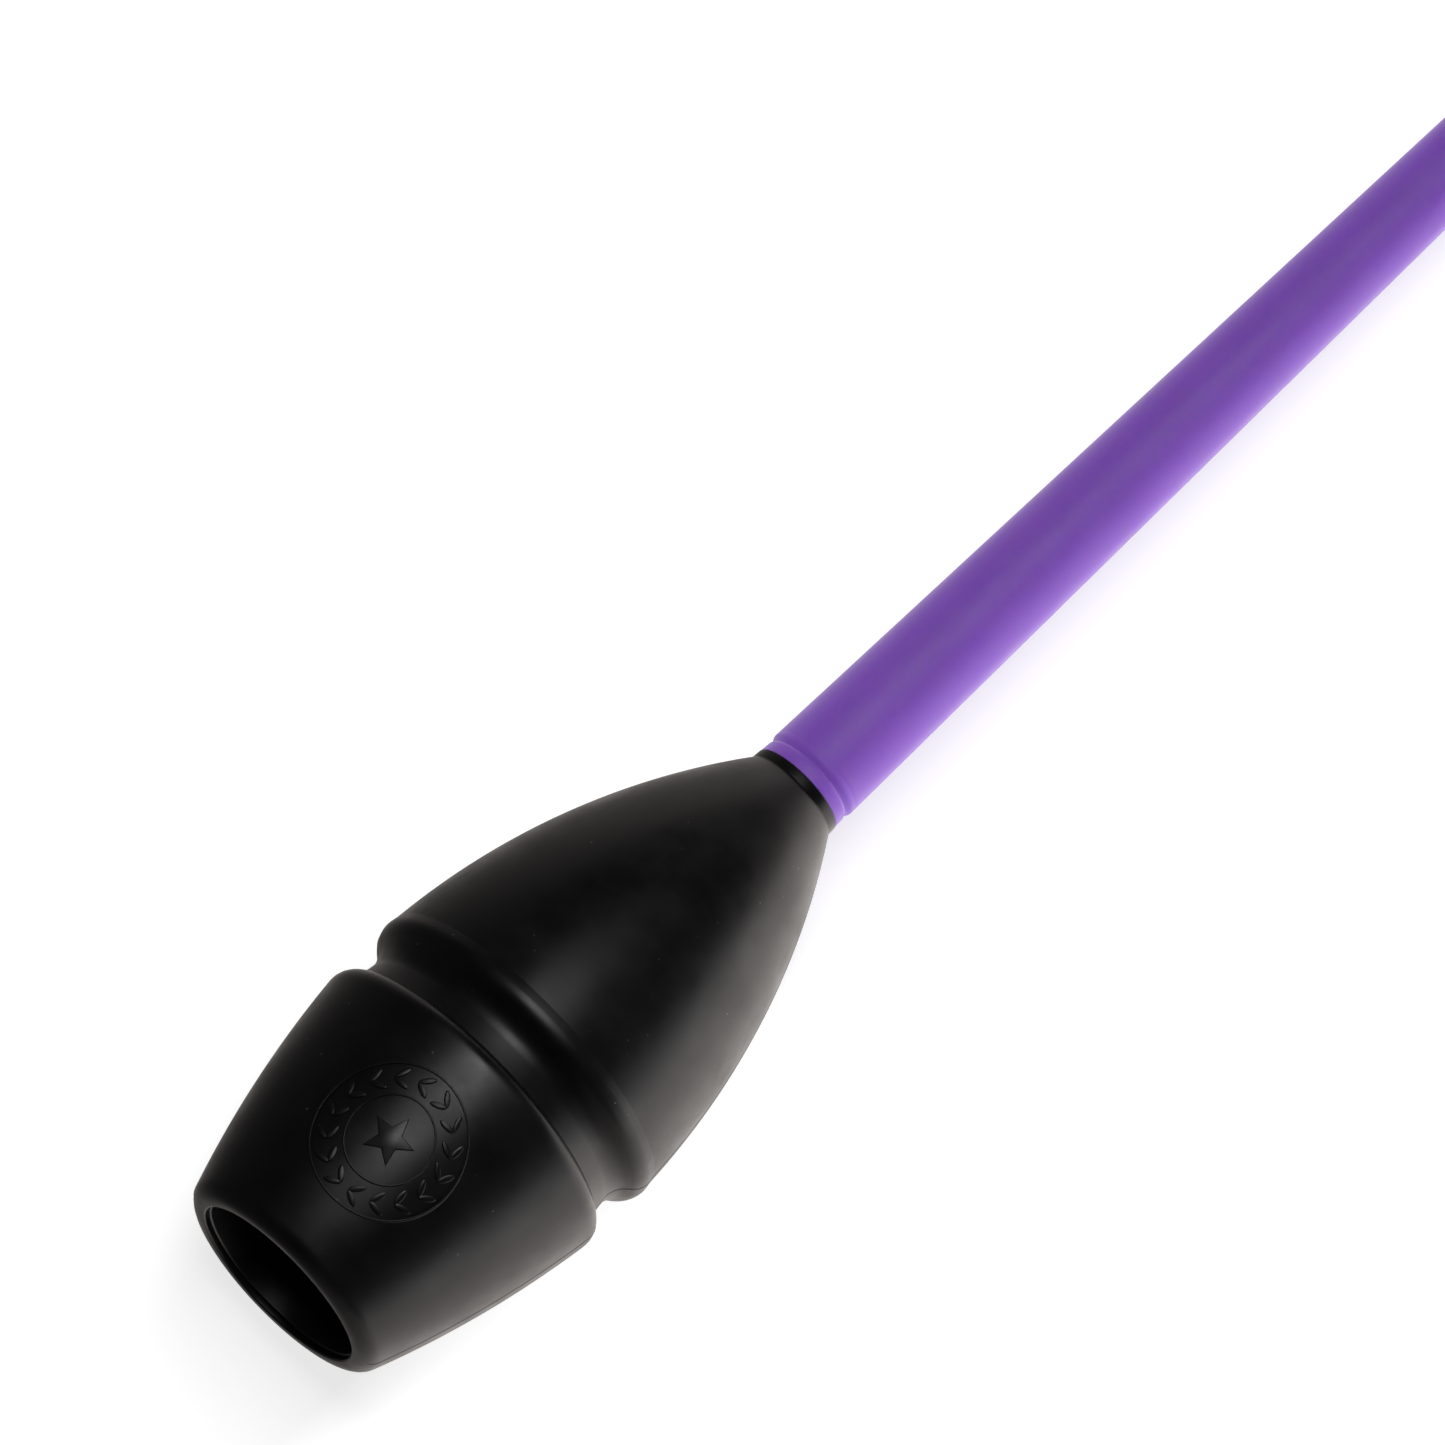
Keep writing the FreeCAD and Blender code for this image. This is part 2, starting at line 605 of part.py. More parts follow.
def make_ball_cover(doc, sheet):
    """The coloured half of the ball, with its flat round the neck."""
    centre = "club_length - ball_radius"
    split = f"{centre} - ball_split"
    flat = f"{centre} - ball_flat"
    edge = ball_ring(sheet, "ball_radius", "ball_flat")
    body = turned_body(doc, sheet, "ball_cover", [
        ("sleeve_tip_radius", flat),
        (edge, flat, "ball_radius", -1),
        (ball_ring(sheet, "ball_radius", "ball_split"), split),
        (ball_ring(sheet, "ball_core_radius", "ball_split"), split, "ball_core_radius", 1),
        (ball_ring(sheet, "ball_core_radius", f"{centre} - sleeve_end"), "sleeve_end"),
        ("sleeve_tip_radius", "sleeve_end"),
    ])
    round_ring(doc, sheet, body, "rounded_flat", edge, flat, "ball_flat_round")
    return body


def make_ball_tip(doc, sheet):
    """The dark half of the ball, with a fine ring cut round it."""
    centre = "club_length - ball_radius"
    split = f"{centre} - ball_split"
    half, depth = number(sheet, "tip_line_width / 2"), number(sheet, "tip_line_depth")
    line, ball = number(sheet, "tip_line"), number(sheet, "ball_radius")
    near, far = math.sqrt(ball ** 2 - (line - half) ** 2), math.sqrt(ball ** 2 - (line + half) ** 2)
    floor = math.sqrt((ball - depth) ** 2 - line ** 2)
    return turned_body(doc, sheet, "ball_tip", [
        (ball_ring(sheet, "ball_core_radius", "ball_split"), split),
        (ball_ring(sheet, "ball_radius", "ball_split"), split, "ball_radius", -1),
        (f"{near}", f"{centre} + tip_line - tip_line_width / 2"),
        (f"{floor}", f"{centre} + tip_line"),
        (f"{far}", f"{centre} + tip_line + tip_line_width / 2", "ball_radius", -1),
        ("0", "club_length"),
        ("0", f"{centre} + ball_core_radius", "ball_core_radius", 1),
    ])


def make_ball_core(doc, sheet):
    """The hard middle of the ball, with the spigot that is glued in the core tube."""
    centre = "club_length - ball_radius"
    shoulder = ball_ring(sheet, "ball_core_radius", f"{centre} - sleeve_end")
    return turned_body(doc, sheet, "ball_core", [
        ("0", "core_spigot_start"),
        ("core_spigot_radius", "core_spigot_start"),
        ("core_spigot_radius", "sleeve_end"),
        (shoulder, "sleeve_end", "ball_core_radius", -1),
        ("0", f"{centre} + ball_core_radius"),
    ])


def resting_tilt(sheet):
    """Angle in degrees between the club's axis and the table when bead and ball both touch it."""
    corner, waist, bulb = (FreeCAD.Vector(number(sheet, f"{name}_station"), number(sheet, f"{name}_radius"))
                           for name in ("crest", "waist", "bulb"))
    to_waist, to_bulb = (waist - corner).normalize(), (bulb - corner).normalize()
    bead = number(sheet, "crest_round")
    centre = corner + (to_waist + to_bulb).normalize() * (bead / math.sin(to_waist.getAngle(to_bulb) / 2))
    ball = number(sheet, "ball_radius")
    along = number(sheet, "club_length") - ball - centre.x
    rise = math.atan2(centre.y, along)
    spread = math.asin((ball - bead) / math.hypot(along, centre.y))
    return math.degrees(rise - spread)


def lay_down(sheet, pieces):
    """Lay all pieces on the table together, with the origin under the middle of their box."""
    upright = FreeCAD.Rotation(FreeCAD.Vector(0, 1, 0), 90 + resting_tilt(sheet))
    badge_up = FreeCAD.Rotation(FreeCAD.Vector(0, 0, 1), 180 - number(sheet, "badge_turn"))
    turn = upright.multiply(badge_up)
    whole = Part.Compound([piece.Shape for piece in pieces])
    whole.Placement = FreeCAD.Placement(FreeCAD.Vector(), turn)
    box = whole.optimalBoundingBox(False, False)
    shift = FreeCAD.Vector(-box.Center.x, -box.Center.y, -box.ZMin)
    for piece in pieces:
        piece.Placement = FreeCAD.Placement(shift, turn)
    return shift, turn


def check(doc, pieces):
    """Stop if any object of the document failed, or any piece isn't a sound solid."""
    for item in doc.Objects:
        if any(word in item.State for word in ("Invalid", "Error")):
            raise ValueError(f"{item.Label} failed: {item.State}")
    for piece in pieces:
        shape = piece.Shape
        if shape.isNull() or not shape.isValid() or not shape.Solids:
            raise ValueError(f"{piece.Label} has no sound solid")


def main():
    """Build every piece, lay the club down and write one STEP file for each piece."""
    doc = FreeCAD.newDocument("club")
    sheet = make_sheet(doc)
    makers = [make_head_shell, make_mouth_ring, make_socket_cup, make_socket_funnel, make_grip_ring,
              make_ball_pocket, make_centre_screw, make_screw_washer, make_waist_disc, make_core_tube,
              make_tube_plug, make_balance_weight, make_neck_bush, make_neck_sleeve, make_ball_cover,
              make_ball_core, make_ball_tip]
    pieces = [maker(doc, sheet) for maker in makers]
    pieces.append(make_weight_stops(doc))
    shift, turn = lay_down(sheet, pieces)
    doc.recompute()
    check(doc, pieces)
    os.makedirs(PARTS_FOLDER, exist_ok=True)
    for piece in pieces:
        piece.Shape.exportStep(os.path.join(PARTS_FOLDER, f"{piece.Label}.step"))
        print(f"{piece.Label:16s} {len(piece.Shape.Solids)} solids {piece.Shape.Volume / 1000:8.3f} cm3")
    axis = turn.multVec(FreeCAD.Vector(0, 0, 1))
    print("mouth centre", [round(x, 4) for x in shift], "axis", [round(x, 6) for x in axis])


main()
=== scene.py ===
"""The looks of a connectable gymnastic club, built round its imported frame.

Every skin is shaped in the club's own frame, in millimetres: Z runs along the axis from the plane
of the mouth (station 0) to the tip of the ball, and X points at the badge. ClubAxis lays that
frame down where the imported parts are, in metres.
"""
from __future__ import annotations

import json
import logging
import math
from dataclasses import dataclass
from enum import Enum

import bmesh
import bpy
from mathutils import Matrix, Vector

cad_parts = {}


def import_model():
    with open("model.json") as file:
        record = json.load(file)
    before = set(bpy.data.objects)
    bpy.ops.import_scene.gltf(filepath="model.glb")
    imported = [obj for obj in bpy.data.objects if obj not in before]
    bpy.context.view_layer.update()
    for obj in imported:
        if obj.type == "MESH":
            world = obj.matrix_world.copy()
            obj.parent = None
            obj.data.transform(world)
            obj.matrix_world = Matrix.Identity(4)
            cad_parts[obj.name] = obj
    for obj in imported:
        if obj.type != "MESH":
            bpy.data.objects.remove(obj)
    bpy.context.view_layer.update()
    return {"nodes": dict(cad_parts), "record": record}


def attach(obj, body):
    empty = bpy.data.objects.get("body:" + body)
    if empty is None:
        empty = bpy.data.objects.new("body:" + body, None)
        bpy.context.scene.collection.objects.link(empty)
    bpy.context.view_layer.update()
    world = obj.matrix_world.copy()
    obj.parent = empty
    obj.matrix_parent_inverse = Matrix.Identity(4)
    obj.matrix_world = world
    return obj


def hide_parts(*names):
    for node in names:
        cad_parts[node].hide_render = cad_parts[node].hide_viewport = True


LOG = logging.getLogger("club")
MM = 0.001
ROOT = "root"
AXIS = Vector((0.0, 0.0, 1.0))
SIDE = Vector((0.0, 1.0, 0.0))
TOUCH = 1e-4
Colour = tuple[float, float, float]


class Slot(Enum):
    """The record's material slots named for the new pieces; nothing here assigns them."""

    HEAD = "head_black"
    LINING = "liner_black"
    INSERT = "insert_rubber"
    RING = "ring_rubber"
    SLEEVE = "grip_purple"
    BALL_COVER = "ball_purple"
    BALL_TIP = "ball_black"


# --- shaping -------------------------------------------------------------------------------------


@dataclass(frozen=True)
class ClubAxis:
    """Where the club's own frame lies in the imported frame.

    Attributes:
        mouth: centre of the mouth's plane, in metres.
        along: unit vector from the mouth to the ball.
        badge_lean: degrees by which the badge leans towards +Y from straight up.
    """

    mouth: Vector
    along: Vector
    badge_lean: float = 9.9

    @classmethod
    def from_mounts(cls, mounts: list[dict], ball_station: float) -> ClubAxis:
        """Find the axis from the two mounts that lie on it.

        Args:
            mounts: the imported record's mounts.
            ball_station: millimetres from the mouth's plane to the ball's centre.

        Returns:
            The club's axis.
        """
        places = {mount["name"]: Vector(mount["pos_m"]) for mount in mounts}
        along = (places["ball"] - places["ball_grip"]).normalized()
        return cls(places["ball"] - along * ball_station * MM, along)

    @property
    def upward(self) -> Vector:
        """The unit vector square to the axis that points up."""
        return self.along.cross(SIDE).normalized()

    def lay_down(self) -> Matrix:
        """The matrix from the club's own frame, in millimetres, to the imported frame, in metres."""
        lean = math.radians(self.badge_lean)
        badge = self.upward * math.cos(lean) + SIDE * math.sin(lean)
        side = self.along.cross(badge)
        turn = Matrix((badge, side, self.along)).transposed().to_4x4()
        return Matrix.Translation(self.mouth) @ turn @ Matrix.Scale(MM, 4)


@dataclass(frozen=True)
class Bend:
    """An arc of an outline that bulges away from the club's axis.

    Attributes:
        start: its first point, as radius and station.
        end: its last point.
        curve: its radius of curvature.
    """

    start: Vector
    end: Vector
    curve: float

    @property
    def centre(self) -> Vector:
        """The centre of the arc's circle, as radius and station."""
        chord = self.end - self.start
        outward = Vector((chord.y, -chord.x)).normalized()
        if outward.x < 0:
            outward.negate()
        depth = math.sqrt(self.curve**2 - (chord.length / 2) ** 2)
        return (self.start + self.end) / 2 - outward * depth

    def radius_at(self, station: float) -> float:
        """The radius of the turned surface at a station."""
        centre = self.centre
        return centre.x + math.sqrt(self.curve**2 - (station - centre.y) ** 2)

    def between(self, step: float) -> list[Vector]:
        """Points along the arc, without its ends.

        Args:
            step: the largest distance between two points.

        Returns:
            The points, from start to end.
        """
        centre = self.centre
        arm_in, arm_out = self.start - centre, self.end - centre
        sweep = arm_in.angle_signed(arm_out)
        count = max(2, math.ceil(abs(sweep) * self.curve / step))
        turns = (Matrix.Rotation(-sweep * index / count, 2) for index in range(1, count))
        return [centre + turn @ arm_in for turn in turns]


@dataclass(frozen=True)
class Corner:
    """A corner of an outline.

    Attributes:
        radius: distance from the club's axis.
        station: distance from the mouth's plane.
        rounding: radius of the corner's rounding.
        curve: radius of curvature of the way to the next corner, or 0 if it is straight.
    """

    radius: float
    station: float
    rounding: float = 0.0
    curve: float = 0.0

    @property
    def point(self) -> Vector:
        """The corner as a point."""
        return Vector((self.radius, self.station))


@dataclass
class Turning:
    """A piece turned about the club's axis from an outline.

    Attributes:
        corners: the outline's corners, all the way round.
        around: how many faces go round the axis.
        step: the largest distance between two points of a curved edge.
        round_steps: how many edges make a rounding.
        clearance: how far a curve's points keep from a rounding, as a multiple of its reach.
    """

    corners: list[Corner]
    around: int = 192
    step: float = 1.0
    round_steps: int = 6
    clearance: float = 1.05

    def make(self) -> bmesh.types.BMesh:
        """Draw the outline, round its corners and turn it.

        Returns:
            The closed mesh, in the club's own frame.
        """
        bm = bmesh.new()
        self._draw(bm)
        bmesh.ops.spin(bm, geom=bm.verts[:] + bm.edges[:], cent=(0, 0, 0), axis=AXIS,
                       angle=math.tau, steps=self.around, use_merge=True)
        bmesh.ops.remove_doubles(bm, verts=bm.verts, dist=TOUCH)
        bmesh.ops.recalc_face_normals(bm, faces=bm.faces)
        return bm

    def _reach(self, index: int) -> float:
        """How far a corner's rounding reaches along the outline."""
        corner = self.corners[index]
        if not corner.rounding:
            return 0.0
        before = self.corners[index - 1].point - corner.point
        after = self.corners[(index + 1) % len(self.corners)].point - corner.point
        return corner.rounding / math.tan(before.angle(after) / 2)

    def _draw(self, bm: bmesh.types.BMesh) -> None:
        """Draw the outline as edges and round its corners.

        Args:
            bm: the mesh that gets the outline.
        """
        loop, rounded = [], []
        for index, corner in enumerate(self.corners):
            following = (index + 1) % len(self.corners)
            vert = bm.verts.new((corner.radius, 0.0, corner.station))
            loop.append(vert)
            if corner.rounding:
                rounded.append((vert, self._reach(index)))
            if corner.curve:
                bend = Bend(corner.point, self.corners[following].point, corner.curve)
                clear = ((corner.point, self._reach(index)), (bend.end, self._reach(following)))
                points = (p for p in bend.between(self.step)
                          if all((p - end).length > reach * self.clearance for end, reach in clear))
                loop.extend(bm.verts.new((p.x, 0.0, p.y)) for p in points)
        for vert, following in zip(loop, loop[1:] + loop[:1]):
            if abs(vert.co.x) + abs(following.co.x) > 0:
                bm.edges.new((vert, following))
        for vert, reach in rounded:
            bmesh.ops.bevel(bm, geom=[vert], offset=reach, offset_type="OFFSET", profile=0.5,
                            segments=self.round_steps, affect="VERTICES", material=-1)


# --- finishes ------------------------------------------------------------------------------------


class NodeBench:
    """A material under construction, with short ways to add and join its nodes."""

    def __init__(self, name: str) -> None:
        """Start an empty material with a Principled shader.

        Args:
            name: the material's name.
        """
        self.material = bpy.data.materials.new(name)
        self.material.use_nodes = True
        self.tree = self.material.node_tree
        self.shader = self.tree.nodes["Principled BSDF"]
        self.place = self.node("ShaderNodeTexCoord").outputs["Object"]

    def node(self, kind: str, **settings: object) -> bpy.types.Node:
        """Add a node and set its properties."""
        made = self.tree.nodes.new(kind)
        for name, value in settings.items():
            setattr(made, name, value)
        return made

    def join(self, source: bpy.types.NodeSocket, target: bpy.types.NodeSocket) -> None:
        """Link two sockets."""
        self.tree.links.new(source, target)

    def noise(self, size_mm: float, detail: float = 3.0, rough: float = 0.5) -> bpy.types.NodeSocket:
        """Noise whose largest features have the given size.

        Args:
            size_mm: size of the features.
            detail: how many finer layers are added.
            rough: how strong the finer layers are.

        Returns:
            The noise, from 0 to 1.
        """
        made = self.node("ShaderNodeTexNoise")
        made.inputs["Scale"].default_value = 1.0 / (size_mm * MM)
        made.inputs["Detail"].default_value = detail
        made.inputs["Roughness"].default_value = rough
        self.join(self.place, made.inputs["Vector"])
        return made.outputs["Fac"]

    def ranged(self, source: bpy.types.NodeSocket, low: float, high: float,
               start: float = 0.3, end: float = 0.7) -> bpy.types.NodeSocket:
        """Map a value to another range, clamped.

        Args:
            source: the value.
            low: result at start.
            high: result at end.
            start: value that gives low.
            end: value that gives high.

        Returns:
            The mapped value.
        """
        made = self.node("ShaderNodeMapRange")
        for name, value in (("From Min", start), ("From Max", end), ("To Min", low), ("To Max", high)):
            made.inputs[name].default_value = value
        self.join(source, made.inputs["Value"])
        return made.outputs["Result"]

    def blend(self, factor: bpy.types.NodeSocket, first: Colour, second: Colour) -> bpy.types.NodeSocket:
        """Mix two colours by a factor."""
        made = self.node("ShaderNodeMix", data_type="RGBA")
        made.inputs["A"].default_value = (*first, 1.0)
        made.inputs["B"].default_value = (*second, 1.0)
        self.join(factor, made.inputs["Factor"])
        return made.outputs["Result"]

    def bump(self, height: bpy.types.NodeSocket, depth_mm: float, strength: float = 1.0) -> None:
        """Add relief to the shader's normal, on top of what is there.

        Args:
            height: the relief, from 0 to 1.
            depth_mm: how high 1 stands above 0.
            strength: how much of it shows.
        """
        made = self.node("ShaderNodeBump")
        made.inputs["Distance"].default_value = depth_mm * MM
        made.inputs["Strength"].default_value = strength
        self.join(height, made.inputs["Height"])
        before = self.shader.inputs["Normal"].links
        if before:
            self.join(before[0].from_socket, made.inputs["Normal"])
        self.join(made.outputs["Normal"], self.shader.inputs["Normal"])


@dataclass(frozen=True)
class MouldedFinish:
    """Moulded plastic or rubber, with the fine grain of its mould and a few traces of use.

    Attributes:
        name: the material's name.
        colour: its colour.
        roughness: its middle roughness.
        spread: how far the roughness strays from the middle.
        cloud: how much lighter and darker its colour gets, as a fraction.
        grain_mm: size of the mould's grain.
        grain_depth_mm: depth of the mould's grain.
        dust: how much lighter the specks of dust are, from 0 to 1.
        glow_mm: how far light travels inside it, or 0 for none.
        ior: its refractive index.
        bloom: how strong the pale bloom on its skin is, from 0 to 1.
        cloud_mm: size of the clouds in its colour.
        smear_mm: size of the smears that change its roughness.
        dust_mm: distance between two specks of dust.
        dust_colour: the specks' colour.
    """

    name: str
    colour: Colour
    roughness: float
    spread: float = 0.05
    cloud: float = 0.08
    grain_mm: float = 0.5
    grain_depth_mm: float = 0.002
    dust: float = 0.0
    glow_mm: float = 0.0
    ior: float = 1.45
    bloom: float = 0.0
    cloud_mm: float = 14.0
    smear_mm: float = 9.0
    dust_mm: float = 4.5
    dust_colour: Colour = (0.25, 0.24, 0.23)

    def build(self) -> bpy.types.Material:
        """Make the material."""
        bench = NodeBench(self.name)
        shader = bench.shader.inputs
        darker = tuple(part * (1 - self.cloud) for part in self.colour)
        lighter = tuple(part * (1 + self.cloud) for part in self.colour)
        clouds = bench.ranged(bench.noise(self.cloud_mm, detail=4.0), 0.0, 1.0)
        colour = bench.blend(clouds, darker, lighter)
        if self.dust:
            colour = self._with_dust(bench, colour)
        bench.join(colour, shader["Base Color"])
        smears = bench.ranged(bench.noise(self.smear_mm, detail=6.0, rough=0.62),
                              self.roughness - self.spread, self.roughness + self.spread)
        bench.join(smears, shader["Roughness"])
        shader["IOR"].default_value = self.ior
        shader["Sheen Weight"].default_value = self.bloom
        if self.glow_mm:
            shader["Subsurface Weight"].default_value = 1.0
            shader["Subsurface Radius"].default_value = self.colour
            shader["Subsurface Scale"].default_value = self.glow_mm * MM
        bench.bump(bench.noise(self.grain_mm, detail=2.0), self.grain_depth_mm)
        return bench.material

    def _with_dust(self, bench: NodeBench, colour: bpy.types.NodeSocket) -> bpy.types.NodeSocket:
        """Scatter a few pale specks over a colour.

        Args:
            bench: the material under construction.
            colour: the colour that gets the specks.

        Returns:
            The colour with its specks.
        """
        cells = bench.node("ShaderNodeTexVoronoi")
        cells.inputs["Scale"].default_value = 1.0 / (self.dust_mm * MM)
        bench.join(bench.place, cells.inputs["Vector"])
        specks = bench.ranged(cells.outputs["Distance"], self.dust, 0.0, start=0.02, end=0.05)
        made = bench.node("ShaderNodeMix", data_type="RGBA")
        bench.join(specks, made.inputs["Factor"])
        bench.join(colour, made.inputs["A"])
        made.inputs["B"].default_value = (*self.dust_colour, 1.0)
        return made.outputs["Result"]


@dataclass(frozen=True)
class SteelFinish:
    """Turned or pressed steel, with fine lines from the tool."""

    name: str = "turned_steel"
    colour: Colour = (0.56, 0.56, 0.57)
    dulled: float = 0.82
    stain_mm: float = 2.0
    roughness: float = 0.32
    line_mm: float = 0.12
    line_depth_mm: float = 0.002

    def build(self) -> bpy.types.Material:
        """Make the material."""
        bench = NodeBench(self.name)
        shader = bench.shader.inputs
        shader["Metallic"].default_value = 1.0
        dull = tuple(part * self.dulled for part in self.colour)
        stains = bench.ranged(bench.noise(self.stain_mm, detail=5.0), 0.0, 1.0)
        bench.join(bench.blend(stains, dull, self.colour), shader["Base Color"])
        lines = bench.noise(self.line_mm, detail=4.0, rough=0.7)
        bench.join(bench.ranged(lines, self.roughness - 0.08, self.roughness + 0.1), shader["Roughness"])
        bench.bump(lines, self.line_depth_mm)
        return bench.material


@dataclass(frozen=True)
class WoundGlassFinish:
    """Glass-fibre tube, with the slanting bands of its winding."""

    name: str = "wound_glass"
    resin: Colour = (0.52, 0.47, 0.27)
    fibre: Colour = (0.72, 0.68, 0.46)
    band_mm: float = 3.0
    band_depth_mm: float = 0.03
    waviness: float = 1.5

    def build(self) -> bpy.types.Material:
        """Make the material."""
        bench = NodeBench(self.name)
        bands = bench.node("ShaderNodeTexWave", bands_direction="DIAGONAL")
        bands.inputs["Scale"].default_value = 1.0 / (self.band_mm * MM * math.tau)
        bands.inputs["Distortion"].default_value = self.waviness
        bench.join(bench.place, bands.inputs["Vector"])
        bench.join(bench.blend(bands.outputs["Fac"], self.resin, self.fibre),
                   bench.shader.inputs["Base Color"])
        bench.join(bench.ranged(bench.noise(1.0), 0.28, 0.42), bench.shader.inputs["Roughness"])
        bench.bump(bands.outputs["Fac"], self.band_depth_mm)
        return bench.material


# --- the club's assemblies -----------------------------------------------------------------------


@dataclass
class Workshop:
    """Lays meshes of the club's own frame down and hands them to the frame."""

    axis: ClubAxis

    def place(self, bm: bmesh.types.BMesh, name: str, material: bpy.types.Material, slot: Slot,
              nodes: tuple[str, ...] = (), sharp: float = 40.0) -> bpy.types.Object:
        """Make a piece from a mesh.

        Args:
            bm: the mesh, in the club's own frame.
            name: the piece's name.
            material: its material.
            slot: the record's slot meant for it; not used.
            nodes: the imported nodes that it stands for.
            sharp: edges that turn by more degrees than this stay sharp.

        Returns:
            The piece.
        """
        bmesh.ops.transform(bm, matrix=self.axis.lay_down(), verts=bm.verts)
        mesh = bpy.data.meshes.new(name)
        bm.to_mesh(mesh)
        bm.free()
        mesh.shade_smooth()
        mesh.set_sharp_from_angle(angle=math.radians(sharp))
        mesh.materials.append(material)
        piece = bpy.data.objects.new(name, mesh)
        bpy.context.scene.collection.objects.link(piece)
        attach(piece, ROOT)
        if nodes:
            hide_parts(*nodes)
        LOG.info("%s: %d faces", name, len(mesh.polygons))
        return piece


@dataclass
class Head:
    """The soft black head: cup, waist and bulb in one moulding, with its badge.

    Radii are measured from the axis and stations from the mouth's plane. A corner is where the
    straight or curved sides beside it would meet if it weren't rounded.
    """

    workshop: Workshop
    mouth_radius: float = 17.3
    mouth_corner: float = 20.9
    mouth_round: float = 3.0
    mouth_edge_round: float = 0.4
    rim_radius: float = 31.55
    rim_station: float = 46.9
    rim_round: float = 2.6
    cup_curve: float = 195.0
    waist_corner: float = 28.5
    waist_radius: float = 27.6
    waist_station: float = 52.9
    waist_round: float = 4.2
    crest_radius: float = 31.69
    crest_station: float = 56.3
    crest_round: float = 3.2
    bulb_radius: float = 31.12
    bulb_station: float = 59.5
    bulb_curve: float = 136.0
    crease_round: float = 0.15
    lip_start_radius: float = 9.3
    lip_start: float = 124.8
    lip_radius: float = 9.18
    lip_round: float = 2.0
    lip_edge_round: float = 0.2
    length: float = 126.8
    wall: float = 2.4
    rim_thickening: float = 1.3
    lip_depth: float = 1.2
    seat_end: float = 5.4
    lining_radius: float = 18.2
    spigot_radius: float = 8.0
    spigot_start: float = 117.0
    seam_half_width: float = 0.16
    seam_height: float = 0.07
    seam_start: float = 1.0
    seam_steepness: float = 0.05
    finish: MouldedFinish = MouldedFinish("soft_black_head", (0.0026, 0.0023, 0.0028), 0.36, spread=0.07,
                                          grain_mm=0.6, dust=0.25, ior=1.34)

    @property
    def cup_side(self) -> Bend:
        """The cup's bulging side."""
        return Bend(Vector((self.mouth_corner, 0.0)), Vector((self.rim_radius, self.rim_station)),
                    self.cup_curve)

    @property
    def bulb_side(self) -> Bend:
        """The bulb's long curve."""
        return Bend(Vector((self.bulb_radius, self.bulb_station)),
                    Vector((self.lip_start_radius, self.lip_start)), self.bulb_curve)

    def build(self) -> None:
        """Make the moulding and its badge."""
        material = self.finish.build()
        bm = Turning(self._corners(), around=256, step=1.0).make()
        self._raise_seam(bm)
        self.workshop.place(bm, "head_moulding", material, Slot.HEAD, ("head_shell",))
        Badge(self.workshop, self.cup_side).build(material)

    def _corners(self) -> list[Corner]:
        """The moulding's outline: outside from mouth to lip, then inside back to the mouth."""
        inner_start = self.bulb_side.radius_at(self.spigot_start) - self.wall
        return [
            Corner(self.mouth_radius, 0.0, self.mouth_edge_round),
            Corner(self.mouth_corner, 0.0, self.mouth_round, self.cup_curve),
            Corner(self.rim_radius, self.rim_station, self.rim_round),
            Corner(self.waist_corner, self.rim_station),
            Corner(self.waist_radius, self.waist_station, self.waist_round),
            Corner(self.crest_radius, self.crest_station, self.crest_round),
            Corner(self.bulb_radius, self.bulb_station, self.crease_round, self.bulb_curve),
            Corner(self.lip_start_radius, self.lip_start, self.lip_round),
            Corner(self.lip_radius, self.length, self.lip_edge_round),
            Corner(self.spigot_radius, self.length),
            Corner(self.spigot_radius, self.spigot_start),
            Corner(inner_start, self.spigot_start, 0.0, self.bulb_curve - self.wall),
            Corner(self.bulb_radius - self.wall, self.bulb_station),
            Corner(self.waist_radius - self.wall, self.waist_station - self.wall),
            Corner(self.rim_radius - self.wall * self.rim_thickening, self.rim_station - self.wall, 0.0,
                   self.cup_curve - self.wall),
            Corner(self.mouth_corner - self.wall / 3, self.seat_end),
            Corner(self.lining_radius, self.seat_end),
            Corner(self.lining_radius, self.lip_depth),
            Corner(self.mouth_radius, self.lip_depth, self.lip_edge_round),
        ]

    def _raise_seam(self, bm: bmesh.types.BMesh) -> None:
        """Raise the thin line where the mould's halves met, on both sides of the badge.

        Args:
            bm: the head's mesh.
        """
        for offset in (-self.seam_half_width, 0.0, self.seam_half_width):
            bmesh.ops.bisect_plane(bm, geom=bm.verts[:] + bm.edges[:] + bm.faces[:], dist=TOUCH / 10,
                                   plane_co=(offset, 0, 0), plane_no=(1, 0, 0))
        bm.normal_update()
        for vert in bm.verts:
            outward = vert.normal.y * math.copysign(1.0, vert.co.y)
            on_seam = abs(vert.co.x) < 10 * TOUCH and self.seam_start < vert.co.z < self.lip_start
            if on_seam and outward > self.seam_steepness:
                vert.co += vert.normal * self.seam_height


